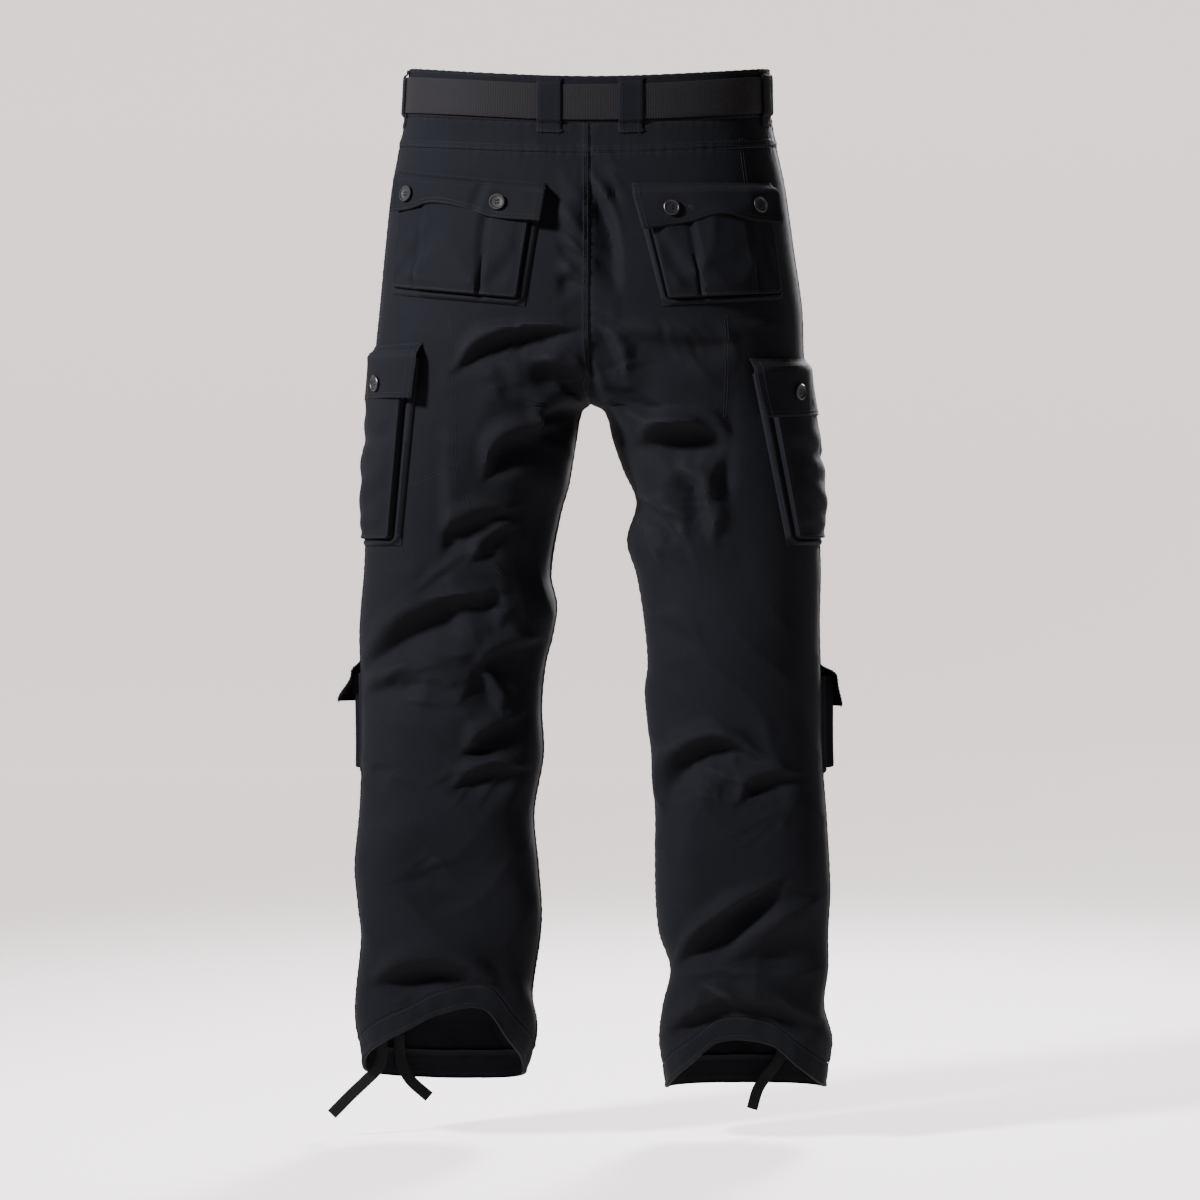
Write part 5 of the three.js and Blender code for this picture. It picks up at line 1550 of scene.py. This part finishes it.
def note_inner_seams():
    """Two rows of stitches along each seam inside a panel, and the tack at the yoke's middle."""
    for side, lines in INNER_SEAMS.items():
        for line in lines:
            path, _ = smooth_path([(x, down, 0) for x, down in line], 40)
            heading = np.gradient(path, axis=0)
            heading /= np.linalg.norm(heading, axis=1, keepdims=True)
            for off in (-1.4, 1.4):
                x = path[:, 0] + heading[:, 1] * off
                down = path[:, 1] - heading[:, 0] * off
                turn = turn_at(side, down, x)
                note_stitches(
                    "body", cloth_point(side, turn, down), cloth_normal(side, turn, down))
    down = np.linspace(78, 86, 5)
    for x in (2.0, 2.8, 3.6, 4.4):
        turn = turn_at("left", down, x)
        lift = np.full(len(down), 1.0)
        note_stitches("body", raised("left", turn, down, lift), cloth_normal("left", turn, down))


def build_stitches(group, settings):
    """The topstitching of one group of seams, as one mesh."""
    vertices, outs, edges = [], [], []
    for points, normals in STITCH_LINES[group]:
        start = len(vertices)
        vertices += ((points + normals * 0.12) * MM).tolist()
        outs += normals.tolist()
        edges += [(start + i, start + i + 1) for i in range(len(points) - 1)]
    mesh = bpy.data.meshes.new(f"{group}_stitches")
    mesh.from_pydata(vertices, edges, [])
    layer = mesh.attributes.new("out", "FLOAT_VECTOR", "POINT")
    layer.data.foreach_set("vector", np.array(outs, dtype=np.float32).ravel())
    obj = bpy.data.objects.new(f"{group}_stitches", mesh)
    bpy.context.scene.collection.objects.link(obj)
    tree, names = stitch_tree()
    modifier = obj.modifiers.new("stitches", "NODES")
    modifier.node_group = tree
    modifier[names["pitch"].identifier] = settings.pitch
    modifier[names["length"].identifier] = settings.length
    modifier[names["radius"].identifier] = settings.radius
    modifier[names["material"].identifier] = material_of("thread")
    bake(obj)
    dress(obj, "thread")
    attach(obj, BODY)


class TrouserSettings(bpy.types.PropertyGroup):
    """Sizes of the cloth pieces."""

    cloth: bpy.props.FloatProperty(
        name="Cloth", description="Thickness of a panel", default=0.0013, min=0.0005, max=0.003,
        unit="LENGTH")
    cell: bpy.props.FloatProperty(
        name="Cell", description="Height of a panel's mesh cells", default=0.003, min=0.002,
        max=0.02, unit="LENGTH")
    columns: bpy.props.IntProperty(
        name="Columns", description="Mesh columns round a panel", default=88, min=12, max=120)
    pocket_cell: bpy.props.FloatProperty(
        name="Pocket cell", description="Size of a pocket's mesh cells", default=0.003, min=0.0015,
        max=0.01, unit="LENGTH")
    folds: bpy.props.FloatProperty(
        name="Folds", description="Share of the folds' full depth", default=1.0, min=0, max=1.5,
        subtype="FACTOR")
    tape_width: bpy.props.FloatProperty(
        name="Tape width", description="Width of the hem drawstrings", default=0.012, min=0.006,
        max=0.02, unit="LENGTH")


class StitchSettings(bpy.types.PropertyGroup):
    """Sizes of the topstitching."""

    pitch: bpy.props.FloatProperty(
        name="Pitch", description="From one stitch to the next", default=0.0038, min=0.002,
        max=0.01, unit="LENGTH")
    length: bpy.props.FloatProperty(
        name="Length", description="Length of a stitch", default=0.0029, min=0.001, max=0.008,
        unit="LENGTH")
    radius: bpy.props.FloatProperty(
        name="Radius", description="Half the thread's thickness", default=0.0003, min=0.0001,
        max=0.001, unit="LENGTH")


class StageSettings(bpy.types.PropertyGroup):
    """The camera and the floor."""

    distance: bpy.props.FloatProperty(
        name="Distance", description="From the camera to the trousers", default=4.6, min=1, max=10,
        unit="LENGTH")
    camera_height: bpy.props.FloatProperty(
        name="Camera height", description="Height of the camera, from the waist", default=-0.40,
        min=-2, max=2, unit="LENGTH")
    floor: bpy.props.FloatProperty(
        name="Floor", description="Height of the floor, from the waist", default=-1.135, min=-2,
        max=0, unit="LENGTH")


# The camera's aim, its sensor, and how wide the frame is where it aims, in metres.
VIEW_TARGET = Vector((-0.0106, 0.0, -0.560))
SENSOR_MM = 36.0
SEEN_WIDTH = 1.272


class TROUSERS_OT_camera(bpy.types.Operator):
    """Adds the camera, square on to the back."""

    bl_idname = "trousers.camera"
    bl_label = "Add the camera"

    def execute(self, context):
        stage = context.scene.trouser_stage
        data = bpy.data.cameras.new("camera")
        data.sensor_width = SENSOR_MM
        data.lens = SENSOR_MM * stage.distance / SEEN_WIDTH
        data.clip_end = 30.0
        camera = bpy.data.objects.new("camera", data)
        context.scene.collection.objects.link(camera)
        camera.location = (VIEW_TARGET.x, stage.distance, stage.camera_height)
        camera.rotation_euler = (VIEW_TARGET - camera.location).to_track_quat("-Z", "Y").to_euler()
        context.scene.camera = camera
        return {"FINISHED"}


class TROUSERS_OT_tapes(bpy.types.Operator):
    """Adds the free ends of the drawstrings at the hems."""

    bl_idname = "trousers.tapes"
    bl_label = "Add the hem tapes"

    def execute(self, context):
        for name in TAPES:
            build_tape(name, context.scene.trouser_cloth)
        return {"FINISHED"}


class TROUSERS_OT_panels(bpy.types.Operator):
    """Adds the leg panels and the back yokes."""

    bl_idname = "trousers.panels"
    bl_label = "Add the panels"

    def execute(self, context):
        settings = context.scene.trouser_cloth
        for side in ("left", "right"):
            foot = HEM_DOWN[side] - HEM_CASING - SEAM_GAP
            legs = [(300, 300), *CROTCH_ROWS, (398, 398), (foot, foot)]
            top = YOKE_SEAM + SEAM_GAP
            felled = 0.9 if side == "left" else 0.0
            cloth_panel(
                f"back_{side}", side, "back", [(top, top), *legs], settings,
                (felled, 0.8, 0.0, 0.0))
            top = WAISTBAND_DEPTH + SEAM_GAP
            cloth_panel(
                f"front_{side}", side, "front", [(top, top), *legs], settings,
                (felled, 0.0, 0.0, 0.0))
            cloth_panel(
                f"yoke_{side}", side, "back", [(top, top), (YOKE_SEAM, YOKE_SEAM)], settings,
                (felled, 0.8, 0.0, 0.9))
        return {"FINISHED"}


class TROUSERS_OT_bands(bpy.types.Operator):
    """Adds the waistband, the hem casings and the fly."""

    bl_idname = "trousers.bands"
    bl_label = "Add the bands"

    def execute(self, context):
        settings = context.scene.trouser_cloth
        build_waistband()
        for side in ("left", "right"):
            build_hem(side, settings)
        build_fly(settings)
        return {"FINISHED"}


class TROUSERS_OT_belt(bpy.types.Operator):
    """Adds the belt with its buckle and its loops."""

    bl_idname = "trousers.belt"
    bl_label = "Add the belt"

    def execute(self, context):
        build_belt()
        build_belt_end()
        build_buckle()
        for name, side, kind, place in LOOPS:
            build_loop(name, side, kind, place)
        return {"FINISHED"}


class TROUSERS_OT_pockets(bpy.types.Operator):
    """Adds the six pockets with their flaps and buttons."""

    bl_idname = "trousers.pockets"
    bl_label = "Add the pockets"

    def execute(self, context):
        settings = context.scene.trouser_cloth
        for pocket in POCKETS:
            build_pocket_body(pocket, settings)
            build_flap(pocket, settings)
        build_buttons()
        return {"FINISHED"}


class TROUSERS_OT_stitches(bpy.types.Operator):
    """Adds the topstitching of all the pieces built so far."""

    bl_idname = "trousers.stitches"
    bl_label = "Add the stitches"

    def execute(self, context):
        note_inner_seams()
        for group in STITCH_LINES:
            if not STITCH_LINES[group]:
                raise RuntimeError(f"there are no seams yet for the {group} stitches")
            build_stitches(group, context.scene.trouser_stitches)
        return {"FINISHED"}


# Floor and backdrop in metres. The floor runs back along Y to its bend, and the wall rises from there.
STAGE = {"near edge": 3.0, "bend starts": -5.3, "bend radius": 1.6, "wall top": 9.0, "half width": 14.0}
# Lamps: name, place, aim, size in metres, power in watts, colour, spread in degrees.
LAMPS = [
    ("key", (2.6, 1.8, 1.2), (0.1, 0.1, -0.2), 0.6, 88, "#fbfaff", 64),
    ("fill", (-2.6, 3.0, 0.0), (0, 0, -0.6), 1.8, 16, "#fff6f4", 150),
    ("front", (-1.2, -3.4, 1.0), (0, 0, -0.5), 1.2, 90, "#fbfaff", 70),
]
DAYLIGHT = ("#f3ecea", 0.3)


def add_light(name, place, aim, size, power, colour, spread):
    """A round soft lamp turned to its aim."""
    data = bpy.data.lights.new(name, "AREA")
    data.shape = "DISK"
    data.size = size
    data.energy = power
    data.color = linear(colour)[:3]
    data.spread = math.radians(spread)
    lamp = bpy.data.objects.new(name, data)
    bpy.context.scene.collection.objects.link(lamp)
    lamp.location = place
    lamp.rotation_euler = (Vector(aim) - Vector(place)).to_track_quat("-Z", "Y").to_euler()
    return lamp


class TROUSERS_OT_stage(bpy.types.Operator):
    """Adds a pale floor that curves up into a backdrop, and soft studio light."""

    bl_idname = "trousers.stage"
    bl_label = "Add the stage"

    def execute(self, context):
        floor_at = context.scene.trouser_stage.floor
        bends = [(math.sin(a), 1 - math.cos(a)) for a in np.linspace(0, math.pi / 2, 13)]
        start, radius, half = STAGE["bend starts"], STAGE["bend radius"], STAGE["half width"]
        section = [(STAGE["near edge"], floor_at)]
        section += [(start - radius * s, floor_at + radius * c) for s, c in bends]
        section.append((start - radius, STAGE["wall top"]))
        vertices = [(x, y, z) for x in (-half, half) for y, z in section]
        n = len(section)
        faces = [(i, i + 1, n + i + 1, n + i) for i in range(n - 1)]
        mesh = bpy.data.meshes.new("studio_floor")
        mesh.from_pydata(vertices, [], faces)
        mesh.shade_smooth()
        floor = bpy.data.objects.new("studio_floor", mesh)
        context.scene.collection.objects.link(floor)
        dress(floor, "floor")
        lamps = [add_light(*lamp) for lamp in LAMPS]
        world = bpy.data.worlds.new("studio")
        world.use_nodes = True
        background = world.node_tree.nodes["Background"]
        background.inputs["Color"].default_value = linear(DAYLIGHT[0])
        background.inputs["Strength"].default_value = DAYLIGHT[1]
        context.scene.world = world
        return {"FINISHED"}


class TROUSERS_PT_panel(bpy.types.Panel):
    """Lists the steps that build the trousers."""

    bl_idname = "TROUSERS_PT_panel"
    bl_label = "Cargo trousers"
    bl_space_type = "VIEW_3D"
    bl_region_type = "UI"
    bl_category = "Trousers"

    def draw(self, context):
        layout = self.layout
        for group in (context.scene.trouser_cloth, context.scene.trouser_stitches,
                      context.scene.trouser_stage):
            for name in group.bl_rna.properties.keys():
                if name not in {"rna_type", "name"}:
                    layout.prop(group, name)
        for operator in OPERATORS:
            layout.operator(operator.bl_idname)


SETTINGS = (TrouserSettings, StitchSettings, StageSettings)
OPERATORS = (
    TROUSERS_OT_camera, TROUSERS_OT_tapes, TROUSERS_OT_panels, TROUSERS_OT_bands,
    TROUSERS_OT_belt, TROUSERS_OT_pockets, TROUSERS_OT_stitches, TROUSERS_OT_stage)


def register():
    for kind in (*SETTINGS, *OPERATORS, TROUSERS_PT_panel):
        bpy.utils.register_class(kind)
    bpy.types.Scene.trouser_cloth = bpy.props.PointerProperty(type=TrouserSettings)
    bpy.types.Scene.trouser_stitches = bpy.props.PointerProperty(type=StitchSettings)
    bpy.types.Scene.trouser_stage = bpy.props.PointerProperty(type=StageSettings)


def unregister():
    del bpy.types.Scene.trouser_stage
    del bpy.types.Scene.trouser_stitches
    del bpy.types.Scene.trouser_cloth
    for kind in reversed((*SETTINGS, *OPERATORS, TROUSERS_PT_panel)):
        bpy.utils.unregister_class(kind)


def main():
    register()
    bpy.ops.trousers.camera()
    bpy.ops.trousers.tapes()
    bpy.ops.trousers.panels()
    bpy.ops.trousers.bands()
    bpy.ops.trousers.belt()
    bpy.ops.trousers.pockets()
    bpy.ops.trousers.stitches()
    bpy.ops.trousers.stage()


if __name__ == "__main__":
    main()
